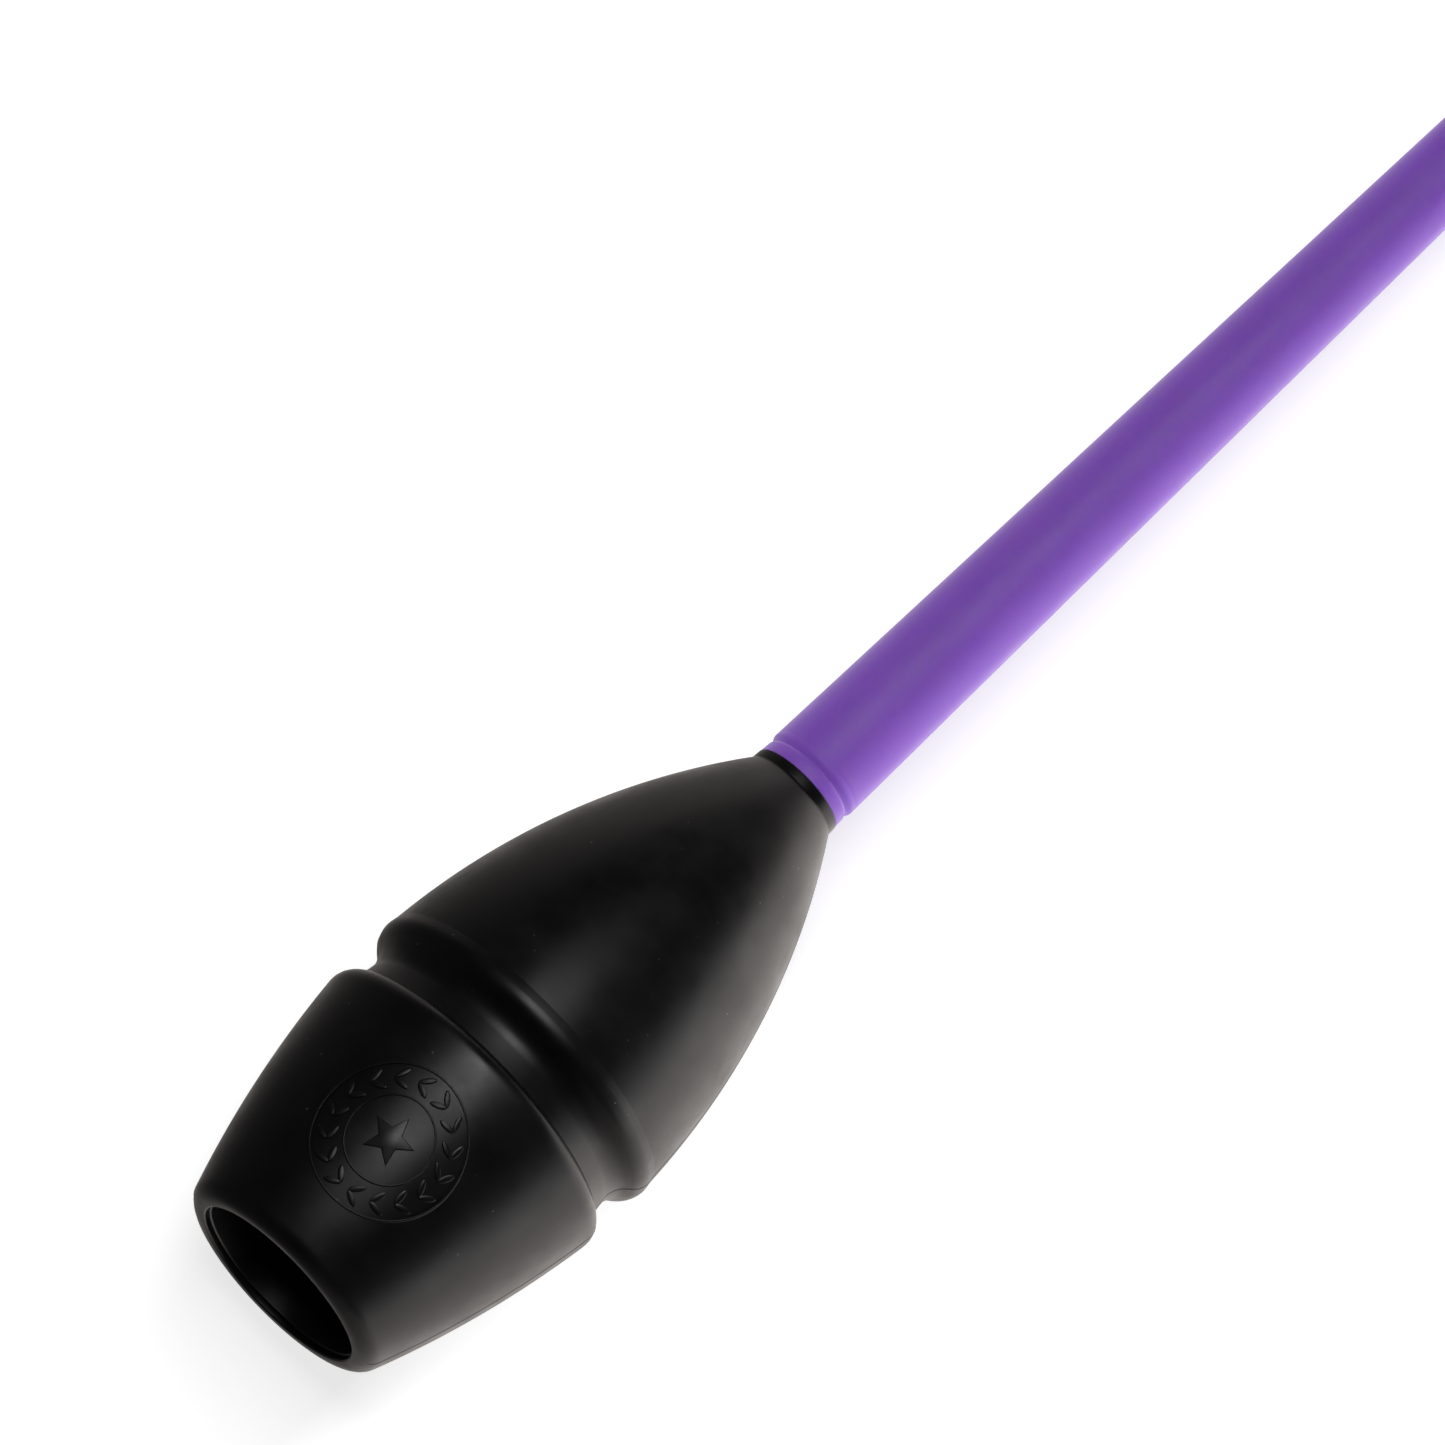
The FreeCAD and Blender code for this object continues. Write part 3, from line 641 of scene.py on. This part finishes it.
@dataclass
class Badge:
    """The raised badge on the cup's side: two rings, a wreath of leaves and a star.

    It is drawn flat, with X along the club and Z up from the surface, and then laid on the cup.
    """

    workshop: Workshop
    surface: Bend
    station: float = 24.1
    outer_radius: float = 13.5
    inner_radius: float = 7.9
    line: float = 0.4
    line_slope: float = 0.04
    line_round: float = 0.12
    height: float = 0.25
    root: float = 0.35
    leaf_pairs: int = 8
    leaf_radius: float = 10.65
    leaf_offset: float = 0.9
    leaf_length: float = 1.55
    leaf_width: float = 0.55
    leaf_slant: float = 36.0
    leaf_round: float = 0.2
    star_radius: float = 4.6
    star_waist: float = 2.1
    star_height: float = 0.3
    star_round: float = 0.15

    def build(self, material: bpy.types.Material) -> None:
        """Make the badge.

        Args:
            material: the head's material.
        """
        bm = bmesh.new()
        for radius in (self.outer_radius, self.inner_radius):
            self._add(bm, self._ring(radius))
        for index in range(self.leaf_pairs):
            angle = math.pi * (index + 0.5) / self.leaf_pairs
            for side in (-1, 1):
                for half in (-1, 1):
                    self._add(bm, self._leaf(angle, side, half))
        self._add(bm, self._star())
        self._lay_on_cup(bm)
        bmesh.ops.recalc_face_normals(bm, faces=bm.faces)
        self.workshop.place(bm, "badge_relief", material, Slot.HEAD, sharp=50.0)

    def _add(self, bm: bmesh.types.BMesh, part: bmesh.types.BMesh) -> None:
        """Add a part to the badge and free it."""
        mesh = bpy.data.meshes.new("badge_part")
        part.to_mesh(mesh)
        part.free()
        bm.from_mesh(mesh)
        bpy.data.meshes.remove(mesh)

    def _ring(self, radius: float) -> bmesh.types.BMesh:
        """A raised ring.

        Args:
            radius: its outer radius.

        Returns:
            The ring, drawn flat.
        """
        return Turning([
            Corner(radius, -self.root),
            Corner(radius - self.line_slope, self.height, self.line_round),
            Corner(radius - self.line + self.line_slope, self.height, self.line_round),
            Corner(radius - self.line, -self.root),
        ], around=120, round_steps=3).make()

    def _raised(self, outline: bmesh.types.BMesh, height: float, rounding: float) -> None:
        """Raise a flat face into a closed relief with a rounded top.

        Args:
            outline: a mesh that holds one face at height 0.
            height: how high the relief stands.
            rounding: how far the rounding of its top edge reaches.
        """
        bmesh.ops.translate(outline, verts=outline.verts, vec=(0, 0, -self.root))
        raised = bmesh.ops.extrude_face_region(outline, geom=outline.faces[:], use_keep_orig=True)
        top = [item for item in raised["geom"] if isinstance(item, bmesh.types.BMVert)]
        bmesh.ops.translate(outline, verts=top, vec=(0, 0, self.root + height))
        rim = [edge for edge in outline.edges if all(vert in top for vert in edge.verts)]
        bmesh.ops.bevel(outline, geom=rim, offset=rounding, offset_type="OFFSET", segments=2,
                        profile=0.5, affect="EDGES", material=-1)

    def _leaf(self, angle: float, side: int, half: int) -> bmesh.types.BMesh:
        """One leaf of the wreath, whose two branches meet at the end away from the mouth.

        Args:
            angle: how far round the badge it stands from that end, in radians.
            side: 1 if its tip leans outwards, -1 if it leans inwards.
            half: the branch that it grows on, 1 or -1.

        Returns:
            The leaf, drawn flat.
        """
        part = bmesh.new()
        bmesh.ops.create_circle(part, cap_ends=True, segments=12, radius=1.0)
        bmesh.ops.scale(part, verts=part.verts, vec=(self.leaf_width, self.leaf_length, 1.0))
        self._raised(part, self.height, self.leaf_round)
        slant = Matrix.Rotation(math.radians(self.leaf_slant) * side, 4, "Z")
        away = Matrix.Translation((self.leaf_radius + self.leaf_offset * side, 0, 0))
        turn = Matrix.Rotation(angle, 4, "Z")
        place = Matrix.Scale(half, 4, SIDE) @ turn @ away @ slant
        bmesh.ops.transform(part, matrix=place, verts=part.verts)
        return part

    def _star(self) -> bmesh.types.BMesh:
        """The five-pointed star in the middle, drawn flat, with one point away from the mouth."""
        part = bmesh.new()
        bmesh.ops.create_circle(part, cap_ends=True, segments=10, radius=self.star_radius)
        for vert in part.verts:
            tooth = round(math.atan2(vert.co.x, vert.co.y) / (math.pi / 5))
            if tooth % 2:
                vert.co *= self.star_waist / self.star_radius
        self._raised(part, self.star_height, self.star_round)
        turn = Matrix.Rotation(-math.pi / 2, 3, "Z")
        bmesh.ops.rotate(part, verts=part.verts, cent=(0, 0, 0), matrix=turn)
        return part

    def _lay_on_cup(self, bm: bmesh.types.BMesh) -> None:
        """Bend the flat badge over the cup's side."""
        for vert in bm.verts:
            along, across, up = vert.co
            radius = self.surface.radius_at(self.station + along) + up
            vert.co = (math.sqrt(radius**2 - across**2), across, self.station + along)


@dataclass
class MouthSocket:
    """What is in the mouth: its hard ring, the funnel, the elastic ring and the ball's pocket."""

    workshop: Workshop
    ring_front: float = 1.2
    ring_outer: float = 18.2
    ring_inner: float = 17.0
    cup_start: float = 14.0
    cup_inner: float = 16.2
    lap_end: float = 16.0
    lap_radius: float = 17.6
    cup_floor: float = 45.0
    funnel_start: float = 14.6
    funnel_radius: float = 15.6
    throat_radius: float = 13.4
    snap_start: float = 21.0
    snap_end: float = 25.5
    snap_seat: float = 14.6
    snap_radius: float = 11.7
    snap_land: float = 2.5
    pocket_radius: float = 12.8
    pocket_floor: float = 40.6
    pocket_round: float = 3.0
    recess_radius: float = 4.8
    ring_edge_round: float = 0.35
    thin_edge_round: float = 0.2
    funnel_edge_round: float = 0.25
    throat_round: float = 0.5
    snap_mouth_round: float = 0.3
    snap_round: float = 0.4
    around: int = 144
    lining: MouldedFinish = MouldedFinish("mouth_lining", (0.004, 0.004, 0.0045), 0.36, dust=0.1)
    rubber: MouldedFinish = MouldedFinish("socket_rubber", (0.006, 0.006, 0.0065), 0.6,
                                          grain_mm=0.4, grain_depth_mm=0.004)
    elastic: MouldedFinish = MouldedFinish("snap_rubber", (0.012, 0.012, 0.013), 0.5)

    def build(self) -> None:
        """Make the four pieces."""
        rubber = self.rubber.build()
        self.workshop.place(Turning(self._mouth_ring()).make(), "mouth_hard_ring",
                            self.lining.build(), Slot.LINING, ("mouth_ring",))
        self.workshop.place(Turning(self._funnel(), self.around).make(), "funnel_ring", rubber,
                            Slot.INSERT, ("socket_funnel",))
        self.workshop.place(Turning(self._snap_ring(), self.around).make(), "snap_ring",
                            self.elastic.build(), Slot.RING, ("grip_ring",))
        self.workshop.place(Turning(self._pocket(), self.around).make(), "pocket_moulding", rubber,
                            Slot.INSERT, ("ball_pocket",))

    def _mouth_ring(self) -> list[Corner]:
        """The outline of the hard ring behind the lip."""
        return [
            Corner(self.ring_inner, self.ring_front, self.ring_edge_round),
            Corner(self.ring_outer, self.ring_front),
            Corner(self.ring_outer, self.lap_end),
            Corner(self.lap_radius, self.lap_end),
            Corner(self.lap_radius, self.cup_start),
            Corner(self.ring_inner, self.cup_start, self.thin_edge_round),
        ]

    def _funnel(self) -> list[Corner]:
        """The outline of the funnel."""
        return [
            Corner(self.funnel_radius, self.funnel_start, self.funnel_edge_round),
            Corner(self.cup_inner, self.funnel_start),
            Corner(self.cup_inner, self.snap_start),
            Corner(self.throat_radius, self.snap_start, self.throat_round),
        ]

    def _snap_ring(self) -> list[Corner]:
        """The outline of the elastic ring."""
        middle = (self.snap_start + self.snap_end) / 2
        return [
            Corner(self.pocket_radius, self.snap_start, self.snap_mouth_round),
            Corner(self.snap_seat, self.snap_start),
            Corner(self.snap_seat, self.snap_end),
            Corner(self.pocket_radius, self.snap_end, self.snap_mouth_round),
            Corner(self.snap_radius, middle + self.snap_land / 2, self.snap_round),
            Corner(self.snap_radius, middle - self.snap_land / 2, self.snap_round),
        ]

    def _pocket(self) -> list[Corner]:
        """The outline of the pocket that the other club's ball sits in."""
        return [
            Corner(self.snap_seat, self.snap_start),
            Corner(self.cup_inner, self.snap_start),
            Corner(self.cup_inner, self.cup_floor),
            Corner(self.recess_radius, self.cup_floor),
            Corner(self.recess_radius, self.pocket_floor, self.snap_round),
            Corner(self.pocket_radius, self.pocket_floor, self.pocket_round),
            Corner(self.pocket_radius, self.snap_end),
            Corner(self.snap_seat, self.snap_end),
        ]


@dataclass
class Neck:
    """The soft purple sleeve, from the bulb's lip to the ball."""

    workshop: Workshop
    core_radius: float = 6.8
    core_tip_radius: float = 3.6
    spigot_radius: float = 8.0
    spigot_start: float = 117.0
    lip_station: float = 126.8
    collar_radius: float = 9.1
    collar_end_radius: float = 9.0
    collar_end: float = 128.9
    collar_round: float = 0.15
    collar_end_round: float = 0.4
    notch_radius: float = 8.6
    notch_station: float = 129.55
    notch_round: float = 0.2
    shoulder_radius: float = 9.26
    shoulder_round: float = 0.9
    shoulder_station: float = 130.5
    ring_station: float = 131.5
    ring_half_width: float = 0.25
    ring_depth: float = 0.04
    ring_round: float = 0.15
    cone_start: float = 132.5
    cone_steps: int = 24
    tip_radius: float = 5.3
    tip_station: float = 413.5
    end_station: float = 419.0
    finish: MouldedFinish = MouldedFinish("soft_purple", (0.275, 0.1, 0.61), 0.54, cloud=0.03,
                                          grain_mm=0.8, glow_mm=1.0, ior=1.45, bloom=0.38)

    def radius_at(self, station: float) -> float:
        """The sleeve's radius on its long cone."""
        share = (station - self.shoulder_station) / (self.tip_station - self.shoulder_station)
        return self.shoulder_radius + (self.tip_radius - self.shoulder_radius) * share

    def build(self) -> bpy.types.Material:
        """Make the sleeve.

        Returns:
            Its material, which the ball's coloured half shares.
        """
        material = self.finish.build()
        bm = Turning(self._corners(), around=160).make()
        self.workshop.place(bm, "neck_grip_sleeve", material, Slot.SLEEVE, ("neck_sleeve",))
        return material

    def _corners(self) -> list[Corner]:
        """The sleeve's outline: outside from spigot to ball, then inside back."""
        ring, half = self.ring_station, self.ring_half_width
        stride = (self.tip_station - self.cone_start) / self.cone_steps
        stations = [self.cone_start + stride * index for index in range(self.cone_steps)]
        return [
            Corner(self.core_radius, self.spigot_start),
            Corner(self.spigot_radius, self.spigot_start),
            Corner(self.spigot_radius, self.lip_station),
            Corner(self.collar_radius, self.lip_station, self.collar_round),
            Corner(self.collar_end_radius, self.collar_end, self.collar_end_round),
            Corner(self.notch_radius, self.notch_station, self.notch_round),
            Corner(self.shoulder_radius, self.shoulder_station, self.shoulder_round),
            Corner(self.radius_at(ring - half), ring - half),
            Corner(self.radius_at(ring) - self.ring_depth, ring, self.ring_round),
            Corner(self.radius_at(ring + half), ring + half),
            *[Corner(self.radius_at(station), station) for station in stations],
            Corner(self.tip_radius, self.tip_station),
            Corner(self.tip_radius, self.end_station),
            Corner(self.core_tip_radius, self.end_station),
            Corner(self.core_radius, self.shoulder_station),
        ]


@dataclass
class BallEnd:
    """The ball that snaps into another club's mouth: a coloured half and a dark half."""

    workshop: Workshop
    station: float = 427.5
    radius: float = 12.5
    core_radius: float = 10.4
    neck_radius: float = 5.3
    sleeve_end: float = 419.0
    split: float = 0.5
    flat: float = 9.55
    flat_round: float = 1.2
    line: float = 3.4
    line_width: float = 0.7
    line_depth: float = 0.3
    line_round: float = 0.12
    split_round: float = 0.1
    around: int = 144
    step: float = 0.4
    dark: MouldedFinish = MouldedFinish("ball_black", (0.006, 0.0055, 0.0065), 0.4, dust=0.15)

    def build(self, purple: bpy.types.Material) -> None:
        """Make both halves.

        Args:
            purple: the neck's material.
        """
        cover = Turning(self._cover(), self.around, self.step).make()
        self.workshop.place(cover, "ball_cover_half", purple, Slot.BALL_COVER, ("ball_cover",))
        tip = Turning(self._tip(), self.around, self.step).make()
        self.workshop.place(tip, "ball_tip_half", self.dark.build(), Slot.BALL_TIP, ("ball_tip",))

    def _ring(self, distance: float, radius: float = 0.0) -> float:
        """The radius of a cut through a sphere about the ball's centre.

        Args:
            distance: how far from the centre the cut is.
            radius: the sphere's radius, or 0 for the ball's own.

        Returns:
            The cut's radius.
        """
        return math.sqrt((radius or self.radius) ** 2 - distance**2)

    def _cover(self) -> list[Corner]:
        """The coloured half's outline."""
        flat, split = self.station - self.flat, self.station - self.split
        inner = self.station - self.sleeve_end
        return [
            Corner(self.neck_radius, flat),
            Corner(self._ring(self.flat), flat, self.flat_round, self.radius),
            Corner(self._ring(self.split), split, self.split_round),
            Corner(self._ring(self.split, self.core_radius), split, 0.0, self.core_radius),
            Corner(self._ring(inner, self.core_radius), self.sleeve_end),
            Corner(self.neck_radius, self.sleeve_end),
        ]

    def _tip(self) -> list[Corner]:
        """The dark half's outline, with the fine line cut round it."""
        split, line = self.station - self.split, self.station + self.line
        half = self.line_width / 2
        return [
            Corner(self._ring(self.split, self.core_radius), split),
            Corner(self._ring(self.split), split, self.split_round, self.radius),
            Corner(self._ring(self.line - half), line - half, self.line_round),
            Corner(self._ring(self.line) - self.line_depth, line, self.line_round),
            Corner(self._ring(self.line + half), line + half, self.line_round, self.radius),
            Corner(0.0, self.station + self.radius),
            Corner(0.0, self.station + self.core_radius, 0.0, self.core_radius),
        ]


@dataclass
class HiddenWorks:
    """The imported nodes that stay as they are: what holds the club together inside."""

    nodes: dict[str, bpy.types.Object]
    cup: MouldedFinish = MouldedFinish("socket_cup_black", (0.006, 0.006, 0.0065), 0.4)
    pale: MouldedFinish = MouldedFinish("natural_plastic", (0.62, 0.6, 0.54), 0.5, cloud=0.05, glow_mm=1.0)
    stop: MouldedFinish = MouldedFinish("stop_rubber", (0.02, 0.02, 0.022), 0.65)

    def dress(self) -> None:
        """Give every node that stays its material."""
        steel, pale = SteelFinish().build(), self.pale.build()
        dressing = {
            "socket_cup": self.cup.build(),
            "weight_stops": self.stop.build(),
            "core_tube": WoundGlassFinish().build(),
            **{name: steel for name in ("centre_screw", "screw_washer", "balance_weight")},
            **{name: pale for name in ("waist_disc", "tube_plug", "neck_bush", "ball_core")},
        }
        for name, material in dressing.items():
            for slot in self.nodes[name].material_slots:
                slot.material = material
            LOG.info("%s: %s", name, material.name)


# --- the studio ----------------------------------------------------------------------------------


@dataclass(frozen=True)
class SoftBox:
    """A rectangular soft light that faces a point.

    Attributes:
        name: its name.
        place: where it is, from the point that it faces, in metres.
        size: its width and height.
        radiance: how bright its face is.
    """

    name: str
    place: tuple[float, float, float]
    size: tuple[float, float]
    radiance: float

    def build(self, target: Vector) -> None:
        """Make the light.

        Args:
            target: the point that it faces.
        """
        light = bpy.data.lights.new(self.name, "AREA")
        light.shape = "RECTANGLE"
        light.size, light.size_y = self.size
        light.energy = self.radiance * self.size[0] * self.size[1] * math.pi
        box = bpy.data.objects.new(self.name, light)
        box.location = target + Vector(self.place)
        facing = Vector(self.place).normalized()
        level = Vector((1.0, 0.0, 0.0))
        across = (level - facing * level.dot(facing)).normalized()
        turn = Matrix((across, facing.cross(across), facing)).transposed()
        box.rotation_euler = turn.to_euler()
        box.visible_camera = False
        bpy.context.scene.collection.objects.link(box)


@dataclass
class Studio:
    """Pale floor, soft lights and the camera.

    Attributes:
        axis: the club's axis.
        floor_size: half the floor's width, in metres.
        floor_white: how much light the floor throws back.
        glow_near, glow_far: how strongly the floor glows under the club and far from it.
        glow_reach: where the near glow ends and the far glow starts, in metres.
        side_glow: how much more the floor glows on the low light's side.
        side_reach: where that side's glow starts and is full, in metres along Y.
        bright_side: the direction in which the room is brightest low down.
        dark_end: cosine from that direction at which the room is darkest.
        low_dark, low_bright: how bright the room is low down, at its darkest and brightest.
        low_growth: how suddenly it gets brighter towards the bright side.
        sky_start, sky_full: heights between which the low part turns into the dark sky.
        sky: how bright the sky is.
        warmth: the room's colour.
        head_station: the point of the axis that the lights face, in millimetres from the mouth.
        camera_distance: metres from that point's plane to the camera.
        picture_width: metres that the picture shows at that distance.
        camera_tilt: degrees by which the camera leans towards the mouth.
        picture_turn: degrees by which the club's axis is turned in the picture.
        head_right, head_up: where the point is in the picture, in metres from its middle.
        sensor: width of the camera's sensor, in millimetres.
        lights: the soft lights.
    """

    axis: ClubAxis
    floor_size: float = 3.0
    floor_white: float = 0.6
    glow_near: float = 0.74
    glow_far: float = 0.6
    glow_reach: tuple[float, float] = (0.3, 1.4)
    side_glow: float = 1.6
    side_reach: tuple[float, float] = (-0.02, -0.1)
    bright_side: tuple[float, float, float] = (0.66, -0.75, 0.0)
    dark_end: float = -0.8
    low_dark: float = 0.06
    low_bright: float = 3.0
    low_growth: float = 2.0
    sky_start: float = 0.02
    sky_full: float = 0.1
    sky: float = 0.03
    warmth: Colour = (1.0, 0.94, 0.9)
    head_station: float = 64.0
    camera_distance: float = 4.0
    picture_width: float = 0.2453
    camera_tilt: float = 17.0
    picture_turn: float = 43.52
    head_right: float = -0.03081
    head_up: float = -0.05277
    sensor: float = 36.0
    lights: tuple[SoftBox, ...] = (
        SoftBox("overhead_box", (0.15, 0.21, 1.0), (0.7, 0.4), 6.9),
        SoftBox("low_side_box", (0.3, -0.9, 0.17), (1.4, 0.36), 2.1),
    )

    def build(self) -> None:
        """Make the floor, the surround, the lights and the camera."""
        self._floor()
        self._surround()
        bpy.context.scene.view_settings.view_transform = "Standard"
        target = self.axis.mouth + self.axis.along * self.head_station * MM
        for light in self.lights:
            light.build(target)
        self._camera(target)

    def _surround(self) -> None:
        """Make the room: dark overhead, and paler low down on the side of the low light."""
        world = bpy.data.worlds.new("surround")
        world.use_nodes = True
        tree = world.node_tree
        place = tree.nodes.new("ShaderNodeTexCoord").outputs["Generated"]
        facing = tree.nodes.new("ShaderNodeVectorMath")
        facing.operation = "DOT_PRODUCT"
        facing.inputs[1].default_value = Vector(self.bright_side).normalized()
        share = tree.nodes.new("ShaderNodeMapRange")
        share.inputs["From Min"].default_value = self.dark_end
        growth = tree.nodes.new("ShaderNodeMath")
        growth.operation = "POWER"
        growth.inputs[1].default_value = self.low_growth
        low = tree.nodes.new("ShaderNodeMapRange")
        low.inputs["To Min"].default_value = self.low_dark
        low.inputs["To Max"].default_value = self.low_bright
        parts = tree.nodes.new("ShaderNodeSeparateXYZ")
        height = tree.nodes.new("ShaderNodeMapRange")
        height.inputs["From Min"].default_value = self.sky_start
        height.inputs["From Max"].default_value = self.sky_full
        height.inputs["To Max"].default_value = self.sky
        for source, target in (
            (place, facing.inputs[0]), (facing.outputs["Value"], share.inputs["Value"]),
            (share.outputs["Result"], growth.inputs[0]), (growth.outputs["Value"], low.inputs["Value"]),
            (place, parts.inputs["Vector"]), (parts.outputs["Z"], height.inputs["Value"]),
            (low.outputs["Result"], height.inputs["To Min"]),
            (height.outputs["Result"], tree.nodes["Background"].inputs["Strength"]),
        ):
            tree.links.new(source, target)
        tree.nodes["Background"].inputs["Color"].default_value = (*self.warmth, 1.0)
        bpy.context.scene.world = world

    def _floor(self) -> None:
        """Make the pale floor, which gives some light itself and isn't seen in the club's gloss."""
        bm = bmesh.new()
        bmesh.ops.create_grid(bm, x_segments=2, y_segments=2, size=self.floor_size)
        mesh = bpy.data.meshes.new("floor")
        bm.to_mesh(mesh)
        bm.free()
        bench = NodeBench("pale_floor")
        shader = bench.shader.inputs
        shader["Base Color"].default_value = (*[self.floor_white] * 3, 1.0)
        shader["Roughness"].default_value = 0.9
        shader["Specular IOR Level"].default_value = 0.0
        shader["Emission Color"].default_value = (1.0, 1.0, 1.0, 1.0)
        away = bench.node("ShaderNodeVectorMath", operation="LENGTH")
        bench.join(bench.place, away.inputs[0])
        round_glow = bench.ranged(away.outputs["Value"], self.glow_near, self.glow_far, *self.glow_reach)
        parts = bench.node("ShaderNodeSeparateXYZ")
        bench.join(bench.place, parts.inputs["Vector"])
        side_glow = bench.ranged(parts.outputs["Y"], 0.0, self.side_glow, *self.side_reach)
        both = bench.node("ShaderNodeMath", operation="ADD")
        bench.join(round_glow, both.inputs[0])
        bench.join(side_glow, both.inputs[1])
        bench.join(both.outputs["Value"], shader["Emission Strength"])
        mesh.materials.append(bench.material)
        floor = bpy.data.objects.new("floor", mesh)
        bpy.context.scene.collection.objects.link(floor)
        floor.visible_glossy = False

    def _camera(self, target: Vector) -> None:
        """Make the camera: it looks down on the head from the mouth's side, through a long lens.

        Args:
            target: the point of the club's axis that its place in the picture is given for.
        """
        tilt, turn = math.radians(self.camera_tilt), math.radians(self.picture_turn)
        towards = (self.axis.upward * math.cos(tilt) - self.axis.along * math.sin(tilt)).normalized()
        along = (self.axis.along - towards * self.axis.along.dot(towards)).normalized()
        side = towards.cross(along)
        right = along * math.cos(turn) - side * math.sin(turn)
        up = along * math.sin(turn) + side * math.cos(turn)
        middle = target - right * self.head_right - up * self.head_up
        data = bpy.data.cameras.new("camera")
        data.sensor_width = self.sensor
        data.lens = self.sensor * self.camera_distance / self.picture_width
        data.clip_end = self.camera_distance * 5
        camera = bpy.data.objects.new("camera", data)
        camera.matrix_world = (Matrix.Translation(middle + towards * self.camera_distance)
                               @ Matrix((right, up, towards)).transposed().to_4x4())
        bpy.context.scene.collection.objects.link(camera)
        bpy.context.scene.camera = camera


def main() -> None:
    """Build the club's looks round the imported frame."""
    logging.basicConfig(level=logging.INFO, format="%(name)s %(message)s")
    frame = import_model()
    axis = ClubAxis.from_mounts(frame["record"]["mounts"], BallEnd.station)
    workshop = Workshop(axis)
    Head(workshop).build()
    MouthSocket(workshop).build()
    purple = Neck(workshop).build()
    BallEnd(workshop).build(purple)
    HiddenWorks(frame["nodes"]).dress()
    Studio(axis).build()


if __name__ == "__main__":
    main()
